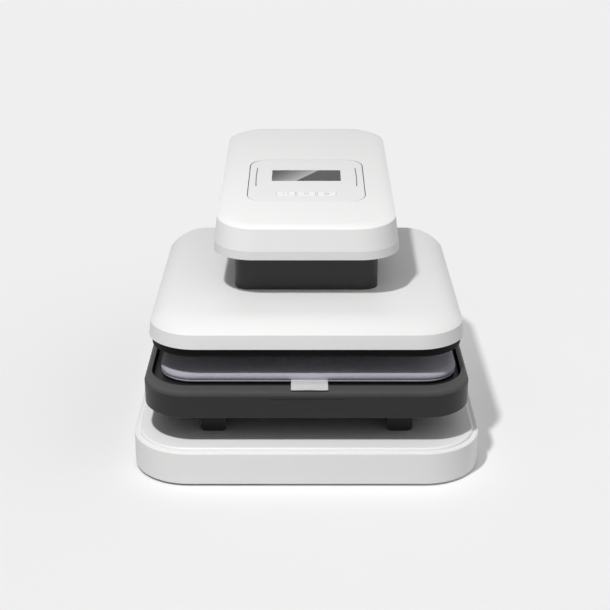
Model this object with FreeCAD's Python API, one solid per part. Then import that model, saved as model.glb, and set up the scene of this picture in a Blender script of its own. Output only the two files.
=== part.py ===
import FreeCAD, Part
import math
import os

# Automatic heat press: a motor in the head lowers a square heated plate onto
# a cushion that lies in a pull-out tray. All sizes are in millimetres.
# The origin is the middle of the base outline on the table, x to the right,
# y to the rear, z up. The press axis is the vertical line through the plate.

V = FreeCAD.Vector
os.makedirs("parts", exist_ok=True)

# Heat plate, its dark skirt and the white cover over them
plate_side = 381.0
plate_t = 12.0
cover_margin = 18.5
cover_r = 65.0
cover_wall = 3.0
cover_h = 30.8
cover_round_h = 12.0
cover_round_side = 30.0
cover_round_front = 50.0
cover_round_rear = 6.0
cover_draft = 2.5
skirt_inset = 3.8
skirt_wall = 3.5
skirt_drop = 11.4
skirt_up = 4.0
skirt_lip = 3.0
plate_proud = 0.5
press_gap = 26.5

# Base, its chassis and its feet
foot_h = 4.5
foot_r = 16.0
foot_pin_r = 4.0
foot_inset = 45.0
shell_lift = 3.0
base_face_h = 44.0
step_h = 4.0
step_inset = 7.0
base_r = 76.0
base_wall = 3.0
base_side = 16.0
front_step = 16.5
bottom_t = 1.0
chassis_t = 2.0
chassis_side = 28.0
chassis_ends = 40.0

# Tray, pressure plate, cushion and its tag
tray_gap = 38.0
tray_lead = 43.4
tray_back = 2.0
tray_side = 3.0
tray_r = 61.0
tray_face_h = 30.3
tray_wall = 4.0
bevel_h = 2.7
bevel_front = 11.0
bevel_side = 3.2
rim_front = 29.0
rim_side = 7.5
floor_drop = 11.0
floor_t = 3.0
under_plate_t = 2.0
plate_inset = 8.0
pad_margin = 6.5
pad_shift = 2.5
pad_r = 46.0
pad_t = 12.5
pad_crown = 1.5
soft_gap = 0.3
seam_up = 4.0
tag_w = 48.0
tag_len = 20.6
tag_t = 0.7
tag_shift = 4.0
grip_w = 120.0
grip_d = 24.0
grip_line_w = 98.0
grip_line_drop = 3.7

# Runner covers and the ball bearing slides in them
runner_x = 105.0
runner_w = 34.0
runner_wall = 1.5
runner_r = 6.0
runner_clear = 1.5
runner_lead = 5.0
runner_len = 413.0
slide_len = 398.0
slide_half = 15.0
slide_sheet = 1.5
flange_t = 2.0
ball_r = 1.6
race_clear = 0.1
bracket_t = 2.5
bracket_clear = 1.0
cage_len = 130.0
cage_spare = 36.0
cage_t = 0.8
cage_w = 4.4
ball_pitch = 13.0
tray_travel = 350.0

# Head, neck and column
head_over = 96.0
head_gap = 58.0
head_front_h = 46.0
head_band_h = 11.5
head_w_front = 243.0
head_w_rear = 240.0
head_r = 55.0
head_slope = 4.2
crown_steps = 6
crown_start = 35.0
head_wall = 3.0
head_round_h = 4.0
head_round_side = 20.0
head_round_rear = 12.0
head_round_front = 12.0
head_lean = 7.5
neck_w = 197.0
neck_d = 145.0
neck_r = 20.0
neck_wall = 2.5
neck_spare = 8.0
neck_clear = 1.5
column_gap = 14.0
column_d = 88.0
column_side = 20.0
column_r = 20.0
column_wall = 3.0
column_back = 12.0
door_sink = 0.5
door_gap = 0.4
door_edge = 8.0

# Steel frame and drive
frame_t = 3.0
frame_w = 160.0
frame_inset = 6.0
arm_clear = 7.0
arm_front = 60.0
arm_flange = 16.0
carrier_margin = 20.0
carrier_t = 3.0
carrier_gap = 4.0
blanket_t = 15.0
screw_r = 8.0
journal_r = 6.0
screw_tail = 20.0
module = 1.5
gear_teeth = 36
pinion_teeth = 12
gear_w = 10.0
gear_lift = 4.0
rod_inset = 20.0
rod_r = 6.0
rod_spare = 1.5
run_clear = 0.15
heater_r = 4.0
heater_reach = 130.0
heater_pitch = 80.0

# Control panel, set in the sloping top
panel_w = 164.0
panel_d = 171.5
panel_r = 26.0
panel_t = 2.5
panel_from = 91.5
panel_gap = 1.1
window_side = 32.5
window_d = 45.0
window_front = 81.5
window_t = 1.5
key_w = 26.0
key_d = 13.5
key_brim = 0.9
key_gap = 0.7
key_front = 23.0
key_travel = 0.5
slit_w = 1.0
slit_side = 10.5
slit_front = 60.5
slit_rear = 36.0
slit_bow = 0.8
board_margin = 4.0
board_inset = 14.0
board_drop = 9.0
board_t = 1.6
post_r_board = 3.0

# Rear panel fittings
inlet_z = 35.0
inlet_x = -30.0
switch_x = 30.0
rocker_tilt = 7.0

# Heights, from the table up
z_skin = shell_lift + base_face_h
z_deck = z_skin + step_h
z_tray = z_deck + tray_gap
z_crease = z_tray + tray_face_h
z_rim = z_crease + bevel_h
z_floor = z_rim - floor_drop
z_pad = z_floor + under_plate_t + soft_gap
z_pad_top = z_pad + pad_t + pad_crown
z_hot = z_pad_top + press_gap
z_skirt = z_hot + plate_proud
z_edge = z_skirt + skirt_drop
z_cover = z_edge + cover_h
z_plate_top = z_hot + plate_t
z_carrier = z_cover - cover_wall - carrier_gap - carrier_t
z_carrier_top = z_carrier + carrier_t
z_head = z_cover + head_gap
z_seam = z_head + head_band_h
z_brow = z_head + head_front_h
z_arm = z_head + arm_clear
z_arm_top = z_arm + frame_t
travel = press_gap - soft_gap
z_neck_top = z_head + travel + neck_spare
z_rod_top = z_arm_top + travel + rod_spare

# Depths, from the front to the rear
cover_side = plate_side + 2 * cover_margin
base_d = front_step + tray_lead + cover_side + column_gap + column_d
y_front = -base_d / 2
y_tray = y_front + front_step
y_cover = y_tray + tray_lead
y_cover_rear = y_cover + cover_side
y_press = y_cover + cover_side / 2
y_tray_rear = y_cover_rear + tray_back
y_column = y_cover_rear + column_gap
y_rear = base_d / 2
y_head = y_cover + head_over
y_frame = y_column + frame_inset
y_frame_rear = y_rear - frame_inset - 16.0
y_column_rear = y_rear - column_back
y_panel = y_column_rear - door_sink

# Widths
tray_w = cover_side + 2 * tray_side
base_w = tray_w + 2 * base_side
well_w = tray_w - 2 * rim_side
well_r = tray_r - rim_side
y_well = y_tray + rim_front
y_well_rear = y_tray_rear - rim_side
pad_w = plate_side + 2 * pad_margin
y_pad = y_press - pad_w / 2
y_pad_rear = y_press + pad_w / 2
runner_out = runner_x + runner_w
chassis_w = 2 * (runner_out + chassis_side)
column_w = frame_w + 2 * column_side
rod_x = frame_w / 2 - rod_inset
carrier_side = 2 * (heater_reach + carrier_margin)
key_pitch = key_w + 2 * key_brim + key_gap
key_from = panel_from + key_front
window_w = panel_w - 2 * window_side
window_from = panel_from + window_front
slit_x = panel_w / 2 - slit_side
slit_from = panel_from + slit_front
slit_len = panel_d - slit_front - slit_rear


def box(x0, x1, y0, y1, z0, z1):
    return Part.makeBox(x1 - x0, y1 - y0, z1 - z0, V(x0, y0, z0))


def cyl(x, y, z0, z1, r):
    return Part.makeCylinder(r, z1 - z0, V(x, y, z0))


def cyl_x(x0, x1, y, z, r):
    return Part.makeCylinder(r, x1 - x0, V(x0, y, z), V(1, 0, 0))


def cyl_y(x, y0, y1, z, r):
    return Part.makeCylinder(r, y1 - y0, V(x, y0, z), V(0, 1, 0))


def rounded_wire(points, radii, z):
    """Closed wire through the points, each corner rounded by a tangent arc."""
    corners = []
    count = len(points)
    for i in range(count):
        p = V(points[i][0], points[i][1], z)
        before = V(points[i - 1][0], points[i - 1][1], z) - p
        after = V(points[(i + 1) % count][0], points[(i + 1) % count][1], z) - p
        before.normalize()
        after.normalize()
        half = before.getAngle(after) / 2
        r = radii[i]
        reach = r / math.tan(half)
        middle = before + after
        middle.normalize()
        centre = p + middle * (r / math.sin(half))
        corners.append((p + before * reach, centre - middle * r, p + after * reach))
    edges = []
    for i in range(count):
        start, top, end = corners[i]
        edges.append(Part.Arc(start, top, end).toShape())
        edges.append(Part.LineSegment(end, corners[(i + 1) % count][0]).toShape())
    return Part.Wire(edges)


def rect_wire(w, y0, y1, r, z):
    points = [(-w / 2, y0), (w / 2, y0), (w / 2, y1), (-w / 2, y1)]
    return rounded_wire(points, [r] * 4, z)


def slab(w, y0, y1, r, z0, z1):
    """Upright block with a rounded rectangular outline."""
    return Part.Face(rect_wire(w, y0, y1, r, z0)).extrude(V(0, 0, z1 - z0))


def edges_at(shape, z):
    found = []
    for edge in shape.Edges:
        bb = edge.BoundBox
        if abs(bb.ZMin - z) < 0.01 and abs(bb.ZMax - z) < 0.01:
            found.append(edge)
    return found


def stack(wires):
    return Part.makeLoft(wires, True, True)


def save(node, shapes):
    if not isinstance(shapes, list):
        shapes = [shapes]
    solids = []
    for shape in shapes:
        solids.extend(shape.Solids)
    whole = solids[0] if len(solids) == 1 else Part.Compound(solids)
    whole.exportStep("parts/" + node + ".step")


def pan_screw(x, y, z, shank_r, shank_len, head_r, head_h, up=1):
    """Pan head screw: its head ends at z and its shank runs up or down from there."""
    if up > 0:
        head = cyl(x, y, z - head_h, z, head_r)
        shank = cyl(x, y, z, z + shank_len, shank_r)
    else:
        head = cyl(x, y, z, z + head_h, head_r)
        shank = cyl(x, y, z - shank_len, z, shank_r)
    return head.fuse(shank).removeSplitter()


# Base shell: a deep rim, a small rounded step and the raised deck
post_r = 4.5
post_hole_r = 1.7
post_inset = 22.0
post_rows = [y_front + 95.0, 0.0, y_rear - 95.0]
posts = [(sx * (base_w / 2 - post_inset), y) for sx in (-1, 1) for y in post_rows]
feet = [(sx * (base_w / 2 - foot_inset), y) for sx in (-1, 1)
        for y in (y_front + foot_inset + 15.0, y_rear - foot_inset - 15.0)]
z_bottom = foot_h
z_bottom_top = foot_h + bottom_t
z_chassis_top = z_deck - base_wall
rail_screw_rows = [y_cover + 40.0 + i * 105.0 for i in range(4)]
bracket_x = runner_out - runner_wall - 11.5
bracket_in = bracket_x - bracket_t
foot_edge = runner_x + runner_wall + bracket_clear
foot_hole_x = (bracket_in + foot_edge) / 2
rail_screw_r = 2.0


def make_base_shell():
    rim = slab(base_w, y_front, y_rear, base_r, shell_lift, z_skin)
    rim = rim.makeFillet(1.6, edges_at(rim, z_skin))
    rim = rim.makeFillet(1.0, edges_at(rim, shell_lift))
    deck = slab(base_w - 2 * step_inset, y_front + step_inset, y_rear - step_inset,
                base_r - step_inset, z_skin - 1.0, z_deck)
    deck = deck.makeFillet(min(3.0, 0.75 * step_h), edges_at(deck, z_deck))
    body = rim.fuse(deck)
    low = slab(base_w - 2 * base_wall, y_front + base_wall, y_rear - base_wall,
               base_r - base_wall, shell_lift - 1.0, z_skin - base_wall)
    inset = step_inset + base_wall
    high = slab(base_w - 2 * inset, y_front + inset, y_rear - inset,
                base_r - inset, z_skin - base_wall - 1.0, z_deck - base_wall)
    body = body.cut([low, high])
    pillars = [cyl(x, y, z_bottom_top, z_deck - base_wall + 0.5, post_r) for x, y in posts]
    body = body.fuse(pillars)
    cuts = [cyl(x, y, z_bottom_top - 1.0, z_bottom_top + 14.0, post_hole_r) for x, y in posts]
    cuts.append(box(-frame_w / 2 - 0.5, frame_w / 2 + 0.5, y_frame - 0.5, y_frame_rear + 0.5,
                    z_deck - base_wall - 1.0, z_deck + 1.0))
    for sx in (-1, 1):
        for y in rail_screw_rows:
            cuts.append(cyl(sx * foot_hole_x, y, z_chassis_top - 1.0, z_deck + 1.0, rail_screw_r))
    return body.cut(cuts).removeSplitter()


def make_base_plate():
    inset = base_wall + 0.4
    body = slab(base_w - 2 * inset, y_front + inset, y_rear - inset, base_r - inset,
                z_bottom, z_bottom_top)
    cuts = [cyl(x, y, z_bottom - 1.0, z_bottom_top + 1.0, foot_pin_r) for x, y in feet]
    cuts += [cyl(x, y, z_bottom - 1.0, z_bottom_top + 1.0, 2.2) for x, y in posts]
    return body.cut(cuts)


def make_feet():
    out = []
    for x, y in feet:
        disc = cyl(x, y, 0.0, foot_h, foot_r)
        disc = disc.makeFillet(1.0, edges_at(disc, 0.0))
        out.append(disc.fuse(cyl(x, y, foot_h, z_bottom_top + 3.0, foot_pin_r)).removeSplitter())
    return out


def make_base_screws():
    return [pan_screw(x, y, z_bottom, post_hole_r, bottom_t + 12.0, 3.6, 2.2) for x, y in posts]


def make_chassis():
    y0 = y_front + chassis_ends
    y1 = y_rear - chassis_ends / 2
    outer = slab(chassis_w, y0, y1, 10.0, z_bottom_top, z_chassis_top)
    inner = slab(chassis_w - 2 * chassis_t, y0 + chassis_t, y1 - chassis_t, 10.0 - chassis_t,
                 z_bottom_top - 1.0, z_chassis_top - chassis_t)
    cuts = [inner]
    for sx in (-1, 1):
        for y in rail_screw_rows:
            cuts.append(cyl(sx * foot_hole_x, y, z_chassis_top - 9.0, z_chassis_top + 1.0,
                            rail_screw_r))
    for x, y in column_bolts:
        cuts.append(cyl(x, y, z_chassis_top - 9.0, z_chassis_top + 1.0, bolt_r))
    return outer.cut(cuts)


# Column: a steel channel that carries the arm, with a cover round it
bolt_r = 3.0
bolt_inset = 16.0
column_bolts = [(sx * (frame_w / 2 - bolt_inset), y) for sx in (-1, 1)
                for y in (y_frame + bolt_inset, y_frame_rear - bolt_inset)]
lip = 20.0
panel_posts = [(sx * (frame_w / 2 - lip / 2), z) for sx in (-1, 1)
               for z in (z_deck + 18.0, z_head - 24.0)]


def make_column_frame():
    half = frame_w / 2
    body = box(-half, half, y_frame, y_frame_rear, z_chassis_top, z_arm)
    hollow = box(-half + frame_t, half - frame_t, y_frame + frame_t, y_frame_rear - frame_t,
                 z_chassis_top + frame_t, z_arm - frame_t)
    mouth = box(-half + lip, half - lip, y_frame_rear - 2 * frame_t, y_frame_rear + 1.0,
                z_chassis_top + frame_t, z_arm - frame_t)
    cuts = [hollow, mouth]
    for x, y in column_bolts:
        cuts.append(cyl(x, y, z_chassis_top - 1.0, z_arm + 1.0, bolt_r))
    for x, z in panel_posts:
        cuts.append(cyl_y(x, y_frame_rear - frame_t - 1.0, y_frame_rear + 1.0, z, 1.5))
    return body.cut(cuts)


def make_frame_bolts():
    out = []
    for x, y in column_bolts:
        out.append(pan_screw(x, y, z_chassis_top + frame_t, bolt_r, frame_t + chassis_t, 5.5, 4.0, -1))
        out.append(pan_screw(x, y, z_arm_top, bolt_r, 2 * frame_t, 5.5, 4.0, -1))
    return out


door_half = column_w / 2 - column_r - 2.0


def make_column_cover():
    outer = slab(column_w, y_column, y_column_rear, column_r, z_deck, z_head)
    inner = slab(column_w - 2 * column_wall, y_column + column_wall, y_column_rear - column_wall,
                 column_r - column_wall, z_deck - 1.0, z_head + 1.0)
    door = box(-door_half, door_half, y_column_rear - column_wall - 1.0, y_column_rear + 1.0,
               z_deck + door_edge, z_head - door_edge)
    return outer.cut([inner, door])


def make_rear_panel():
    half = door_half - door_gap
    body = box(-half, half, y_panel - column_wall, y_panel,
               z_deck + door_edge + door_gap, z_head - door_edge - door_gap)
    posts_in = [cyl_y(x, y_frame_rear, y_panel - column_wall + 0.5, z, 4.0) for x, z in panel_posts]
    body = body.fuse(posts_in)
    cuts = [cyl_y(x, y_frame_rear - 1.0, y_panel + 1.0, z, 1.5) for x, z in panel_posts]
    cuts += [cyl_y(x, y_panel - 1.6, y_panel + 1.0, z, 3.0) for x, z in panel_posts]
    z = z_deck + inlet_z
    cuts.append(box(inlet_x - 13.8, inlet_x + 13.8, y_panel - 10.0, y_panel + 1.0, z - 10.0, z + 10.0))
    cuts.append(box(switch_x - 6.4, switch_x + 6.4, y_panel - 10.0, y_panel + 1.0, z - 9.5, z + 9.5))
    return body.cut(cuts).removeSplitter()


def make_rear_screws():
    out = []
    for x, z in panel_posts:
        head = cyl_y(x, y_panel - 1.6, y_panel - 0.1, z, 2.9)
        shank = cyl_y(x, y_frame_rear - frame_t, y_panel - 1.6, z, 1.5)
        out.append(head.fuse(shank).removeSplitter())
    return out


def make_power_inlet():
    z = z_deck + inlet_z
    flange = box(inlet_x - 16.0, inlet_x + 16.0, y_panel, y_panel + 2.2, z - 12.5, z + 12.5)
    body = box(inlet_x - 13.6, inlet_x + 13.6, y_panel - 22.0, y_panel, z - 9.8, z + 9.8)
    mouth = box(inlet_x - 12.0, inlet_x + 12.0, y_panel - 16.0, y_panel + 3.0, z - 8.3, z + 8.3)
    shell = flange.fuse(body).cut(mouth).removeSplitter()
    out = [shell]
    for dx, dz in ((-7.0, -2.0), (0.0, 2.0), (7.0, -2.0)):
        x = inlet_x + dx
        out.append(box(x - 1.0, x + 1.0, y_panel - 16.0, y_panel - 4.5, z + dz - 3.0, z + dz + 3.0))
    return out


rocker_y = y_panel - 3.2
rocker_half = 7.6
rocker_w = 9.4


def make_switch_housing():
    z = z_deck + inlet_z
    flange = box(switch_x - 8.0, switch_x + 8.0, y_panel, y_panel + 1.8, z - 11.0, z + 11.0)
    body = box(switch_x - 6.2, switch_x + 6.2, y_panel - 17.0, y_panel, z - 9.3, z + 9.3)
    half = rocker_w / 2 + 0.3
    pocket = box(switch_x - half, switch_x + half, y_panel - 11.0, y_panel + 3.0,
                 z - rocker_half - 0.8, z + rocker_half + 0.8)
    pivot = cyl_x(switch_x - half - 1.0, switch_x + half + 1.0, rocker_y, z, 1.15)
    return flange.fuse(body).cut([pocket, pivot]).removeSplitter()


def make_rocker():
    z = z_deck + inlet_z
    rise = rocker_half * math.tan(math.radians(rocker_tilt))
    y_mid = y_panel + 1.9
    points = [V(0, rocker_y - 3.0, z - 5.0), V(0, y_mid + rise, z - rocker_half),
              V(0, y_mid, z), V(0, y_mid + rise, z + rocker_half), V(0, rocker_y - 3.0, z + 5.0)]
    wire = Part.makePolygon(points + [points[0]])
    body = Part.Face(wire).extrude(V(rocker_w, 0, 0))
    body.translate(V(switch_x - rocker_w / 2, 0, 0))
    half = rocker_w / 2 + 0.9
    body = body.fuse(cyl_x(switch_x - half, switch_x + half, rocker_y, z, 1.0)).removeSplitter()
    body.rotate(V(switch_x, rocker_y, z), V(1, 0, 0), rocker_tilt)
    return body


# Head: one sloping form, split at a level seam into a shell and a bottom cover
slope = math.radians(head_slope)
head_drop = head_front_h + (y_rear - y_head) * math.tan(slope)
head_len = (y_rear - y_head - head_drop * math.sin(slope) - 0.5) / math.cos(slope)


def tilt(shape):
    """Carry a shape from the panel's own frame to the sloping top of the head."""
    shape.rotate(V(0, 0, 0), V(1, 0, 0), head_slope)
    shape.translate(V(0, y_head, z_brow))
    return shape


def crowned(wire, inset, height, draft=0.0):
    """Soft roof over a crisp edge: outlines drawn in along the upper part of an ellipse."""
    wires = []
    a0 = math.radians(crown_start)
    for i in range(crown_steps + 1):
        a = a0 + (math.pi / 2 - a0) * i / crown_steps
        drawn = 1 - math.cos(a) / math.cos(a0)
        up = (math.sin(a) - math.sin(a0)) / (1 - math.sin(a0))
        wires.append(wire(inset + draft, drawn, height * (up - 1) - inset))
    return Part.makeLoft(wires, True, False)


def head_wire(inset, drawn, z, lean=0.0):
    """Outline of the head at one level, drawn in by a share of its roundings.

    Below the edge of the roof the front half leans out, and the rear stays upright.
    """
    wf = head_w_front / 2 - inset - drawn * head_round_side + lean
    wr = head_w_rear / 2 - inset - drawn * head_round_side
    y0 = inset + drawn * head_round_front - lean
    y1 = head_len - inset - drawn * head_round_rear
    shrink = inset + drawn * (head_round_side + head_round_front) / 2
    r = max(head_r - shrink, 4.0)
    return rounded_wire([(-wf, y0), (wf, y0), (wr, y1), (-wr, y1)], [r] * 4, z)


def head_form(inset):
    """The whole head as a solid, drawn in by inset all round."""
    depth = head_drop + 60.0
    z1 = -head_round_h - inset
    foot = head_wire(inset, 0.0, z1 - depth, depth * math.tan(math.radians(head_lean)))
    sides = Part.makeLoft([foot, head_wire(inset, 0.0, z1)], True, True)
    top = crowned(head_wire, inset, head_round_h)
    return tilt(sides.fuse(top).removeSplitter())


def big(z0, z1):
    return box(-400.0, 400.0, y_head - 200.0, y_rear + 200.0, z0, z1)


head_posts = [(sx * (head_w_rear / 2 - 12.5), y) for sx in (-1, 1)
              for y in (y_head + 75.0, y_press + 30.0, y_column - 20.0)]
head_boss_h = 4.0
arm_pads = [(sx * (frame_w / 2 - 14.0), y) for sx in (-1, 1)
            for y in (y_press + neck_d / 2 + 16.0, y_column - 30.0)]
small_r = 1.5


def panel_slab(grow, r_grow, z0, z1):
    return slab(panel_w + 2 * grow, panel_from - grow, panel_from + panel_d + grow,
                panel_r + r_grow, z0, z1)


def make_top_shell():
    body = head_form(0.0).cut(head_form(head_wall))
    body = body.common(big(z_seam, z_brow + 100.0))
    opening = tilt(panel_slab(panel_gap, panel_gap, -head_wall - 4.0, 2.0))
    ledge = tilt(panel_slab(4.0, 4.0, -panel_t - 2.5, -panel_t))
    hole = tilt(panel_slab(-5.0, -5.0, -panel_t - 6.0, 2.0))
    body = body.cut(opening).fuse(ledge).cut(hole)
    roof = head_form(head_wall / 2)
    pillars = []
    for x, y in head_posts:
        pillars.append(cyl(x, y, z_head + head_wall + head_boss_h, z_brow + 100.0, 4.5).common(roof))
    body = body.fuse(pillars)
    cuts = [cyl(x, y, z_head, z_head + head_wall + head_boss_h + 14.0, small_r) for x, y in head_posts]
    return body.cut(cuts).removeSplitter()


def make_bottom_cover():
    body = head_form(0.0).common(big(z_head, z_seam))
    hollow = head_form(head_wall).common(big(z_head + head_wall, z_seam + 1.0))
    body = body.cut(hollow)
    z_floor_in = z_head + head_wall
    bosses = [cyl(x, y, z_floor_in - 0.5, z_floor_in + head_boss_h, 6.0) for x, y in head_posts]
    bosses += [cyl(x, y, z_floor_in - 0.5, z_arm, 6.0) for x, y in arm_pads]
    body = body.fuse([b.common(head_form(0.5)) for b in bosses])
    grow = neck_clear
    cuts = [slab(neck_w + 2 * grow, y_press - neck_d / 2 - grow, y_press + neck_d / 2 + grow,
                 neck_r + grow, z_head - 1.0, z_seam)]
    cuts.append(box(-frame_w / 2 - 1.0, frame_w / 2 + 1.0, y_frame - 1.0, y_frame_rear + 1.0,
                    z_head - 1.0, z_seam))
    for x, y in head_posts + arm_pads:
        cuts.append(cyl(x, y, z_head - 1.0, z_head + head_wall, 3.6))
        cuts.append(cyl(x, y, z_head - 1.0, z_seam + 5.0, small_r))
    return body.cut(cuts).removeSplitter()


def make_head_screws():
    z = z_head + head_wall
    out = []
    for x, y in head_posts:
        out.append(pan_screw(x, y, z, small_r, head_boss_h + 12.0, 3.2, 2.4))
    for x, y in arm_pads:
        out.append(pan_screw(x, y, z, small_r, z_arm_top - z, 3.2, 2.4))
    return out


# Control panel, drawn flat in its own frame and then tilted onto the head
def key_centres():
    return [-key_pitch, 0.0, key_pitch]


key_y = key_from + key_d / 2
board_z = -panel_t - board_drop
board_top = board_z + board_t
switch_h = 3.6
board_posts = [(sx * (panel_w / 2 - slit_side + slit_w + 2.0 * post_r_board - 8.1), y) for sx in (-1, 1)
               for y in (panel_from + 30.0, panel_from + panel_d - 30.0)]


def slit(sx, grow):
    """Slightly bowed bar, the light slit beside the display."""
    half = slit_len / 2 + grow
    y = slit_from + slit_len / 2
    w = slit_w / 2 + grow
    x = sx * slit_x
    bow = sx * slit_bow
    a0 = V(x - w, y - half, -panel_t - 1.5)
    a1 = V(x - w + bow, y, -panel_t - 1.5)
    a2 = V(x - w, y + half, -panel_t - 1.5)
    b0 = V(x + w, y - half, -panel_t - 1.5)
    b1 = V(x + w + bow, y, -panel_t - 1.5)
    b2 = V(x + w, y + half, -panel_t - 1.5)
    edges = [Part.Arc(a0, a1, a2).toShape(), Part.LineSegment(a2, b2).toShape(),
             Part.Arc(b2, b1, b0).toShape(), Part.LineSegment(b0, a0).toShape()]
    return Part.Face(Part.Wire(edges)).extrude(V(0, 0, panel_t + 1.5))


def window_slab(grow, r, z0, z1):
    return slab(window_w + 2 * grow, window_from - grow, window_from + window_d + grow, r, z0, z1)


def make_panel():
    body = panel_slab(0.0, 0.0, -panel_t, 0.0)
    body = body.makeFillet(0.5, edges_at(body, 0.0))
    cuts = [window_slab(0.2, 2.2, -window_t, 1.0), window_slab(-3.0, 1.0, -panel_t - 1.0, 1.0)]
    for x in key_centres():
        cuts.append(box(x - key_w / 2 - 0.3, x + key_w / 2 + 0.3, key_from - 0.3,
                        key_from + key_d + 0.3, -panel_t - 1.0, 1.0))
    cuts += [slit(-1, 0.15), slit(1, 0.15)]
    body = body.cut(cuts)
    body = body.fuse([cyl(x, y, board_top, -panel_t + 0.5, post_r_board) for x, y in board_posts])
    body = body.cut([cyl(x, y, board_z, -panel_t - 0.8, 1.2) for x, y in board_posts])
    return tilt(body.removeSplitter())


def make_window():
    return tilt(window_slab(0.0, 2.0, -window_t, -0.1))


def make_display():
    body = slab(window_w - 7.0, window_from + 3.5, window_from + window_d - 3.5, 1.0,
                board_top, -window_t - 0.2)
    return tilt(body)


def make_slits():
    return [tilt(slit(-1, 0.0)), tilt(slit(1, 0.0))]


def make_board():
    body = slab(panel_w - 2 * board_margin, panel_from + board_inset, panel_from + panel_d - board_inset,
                4.0, board_z, board_top)
    body = body.cut([cyl(x, y, board_z - 1.0, board_z + 3.0, 1.2) for x, y in board_posts])
    out = [tilt(body)]
    for x in key_centres():
        z = board_top
        switch = box(x - 3.0, x + 3.0, key_y - 3.0, key_y + 3.0, z, z + switch_h)
        out.append(tilt(switch.cut(cyl(x, key_y, z + 0.6, z + switch_h + 1.0, 1.7))))
    return out


def make_board_screws():
    out = []
    for x, y in board_posts:
        screw = pan_screw(x, y, board_z, 1.2, board_t + 6.0, 2.4, 1.6)
        out.append(tilt(screw))
    return out


def make_key(x):
    cap = box(x - key_w / 2, x + key_w / 2, key_from, key_from + key_d, -panel_t - 0.3, 0.3)
    cap = cap.makeFillet(0.4, edges_at(cap, 0.3))
    brim = box(x - key_w / 2 - key_brim, x + key_w / 2 + key_brim, key_from - 1.0, key_from + key_d + 1.0,
               -panel_t - 1.0, -panel_t - 0.2)
    stem = cyl(x, key_y, board_top + 0.6 + key_travel + 0.4, -panel_t - 0.6, 1.5)
    return tilt(cap.fuse([brim, stem]).removeSplitter())


# Arm with the drive: motor, pinion, gear, lead screw, bearings and bushings
pitch_r = module * gear_teeth / 2
pinion_r = module * pinion_teeth / 2
y_motor = y_press + pitch_r + pinion_r
z_gear = z_arm_top + gear_lift
bearing_r = 14.0
bearing_h = 8.0
housing_r = 18.0
housing_h = 2 * bearing_h + 2.0
motor_r = 20.0
gearbox_h = 22.0
can_r = 17.5
can_h = 28.0
shaft_r = 4.0
bushing_r = 11.0


def gear(teeth, width, bore, phase, thin):
    """Spur gear with straight flanks, radial below the pitch circle, a tooth at phase."""
    r = module * teeth / 2
    tip = r + 0.85 * module
    root = r - 1.15 * module
    step = 2 * math.pi / teeth
    half = step / 4 - thin / r
    tip_half = (half * r - 0.85 * module * math.tan(math.radians(22))) / tip
    points = []
    for i in range(teeth):
        a = phase + i * step
        for rad, ang in ((root, a - half), (r, a - half), (tip, a - tip_half),
                         (tip, a + tip_half), (r, a + half), (root, a + half)):
            points.append(V(rad * math.cos(ang), rad * math.sin(ang), 0))
    wheel = Part.Face(Part.makePolygon(points + [points[0]])).extrude(V(0, 0, width))
    return wheel.cut(cyl(0, 0, -1.0, width + 1.0, bore))


def make_head_frame():
    half = frame_w / 2
    y0 = y_press - arm_front
    plate = box(-half, half, y0, y_frame_rear, z_arm, z_arm_top)
    flanges = [box(sx * half - (frame_t if sx > 0 else 0), sx * half + (frame_t if sx < 0 else 0),
                   y0, y_frame_rear, z_arm, z_arm_top + arm_flange) for sx in (-1, 1)]
    body = plate.fuse(flanges)
    cuts = [cyl(0, y_press, z_arm - 1.0, z_arm_top + 1.0, journal_r + 3.0)]
    cuts.append(cyl(0, y_motor, z_arm - 1.0, z_arm_top + 1.0, shaft_r + 2.0))
    cuts += [cyl(sx * rod_x, y_press, z_arm - 1.0, z_arm_top + 1.0, bushing_r) for sx in (-1, 1)]
    cuts += [cyl(x, y, z_arm - 1.0, z_arm_top + 1.0, bolt_r) for x, y in column_bolts]
    cuts += [cyl(x, y, z_arm - 1.0, z_arm_top + 1.0, small_r) for x, y in arm_pads + drive_screws()]
    return body.cut(cuts).removeSplitter()


def drive_screws():
    out = []
    for a in (20.0, 160.0, 200.0, 340.0):
        ang = math.radians(a)
        out.append(((housing_r + 4.0) * math.cos(ang), y_press + (housing_r + 4.0) * math.sin(ang)))
    return out


def make_bearing_housing():
    flange = cyl(0, y_press, z_arm - 4.0, z_arm, housing_r + 8.0)
    body = cyl(0, y_press, z_arm - housing_h, z_arm, housing_r)
    trim = box(-60.0, 60.0, y_motor - motor_r - 1.0, y_motor + 60.0, z_arm - 40.0, z_arm + 1.0)
    cuts = [cyl(0, y_press, z_arm - housing_h + 2.0, z_arm + 1.0, bearing_r),
            cyl(0, y_press, z_arm - housing_h - 1.0, z_arm, screw_r + 0.8), trim]
    cuts += [cyl(x, y, z_arm - 5.0, z_arm + 1.0, small_r) for x, y in drive_screws()]
    return flange.fuse(body).cut(cuts).removeSplitter()


def make_bearings():
    out = []
    for i in range(2):
        z1 = z_arm - i * bearing_h
        ring = cyl(0, y_press, z1 - bearing_h, z1, bearing_r)
        out.append(ring.cut(cyl(0, y_press, z1 - bearing_h - 1.0, z1 + 1.0, journal_r + run_clear)))
    return out


def make_drive_screws():
    return [pan_screw(x, y, z_arm_top, small_r, frame_t + 4.0, 2.8, 2.0, -1) for x, y in drive_screws()]


def make_motor():
    gearbox = cyl(0, y_motor, z_arm - gearbox_h, z_arm, motor_r)
    can = cyl(0, y_motor, z_arm - gearbox_h - can_h, z_arm - gearbox_h, can_r)
    can = can.makeFillet(2.0, edges_at(can, z_arm - gearbox_h - can_h))
    body = gearbox.fuse(can)
    return body.cut(cyl(0, y_motor, z_arm - 12.0, z_arm + 1.0, shaft_r + run_clear)).removeSplitter()


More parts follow.
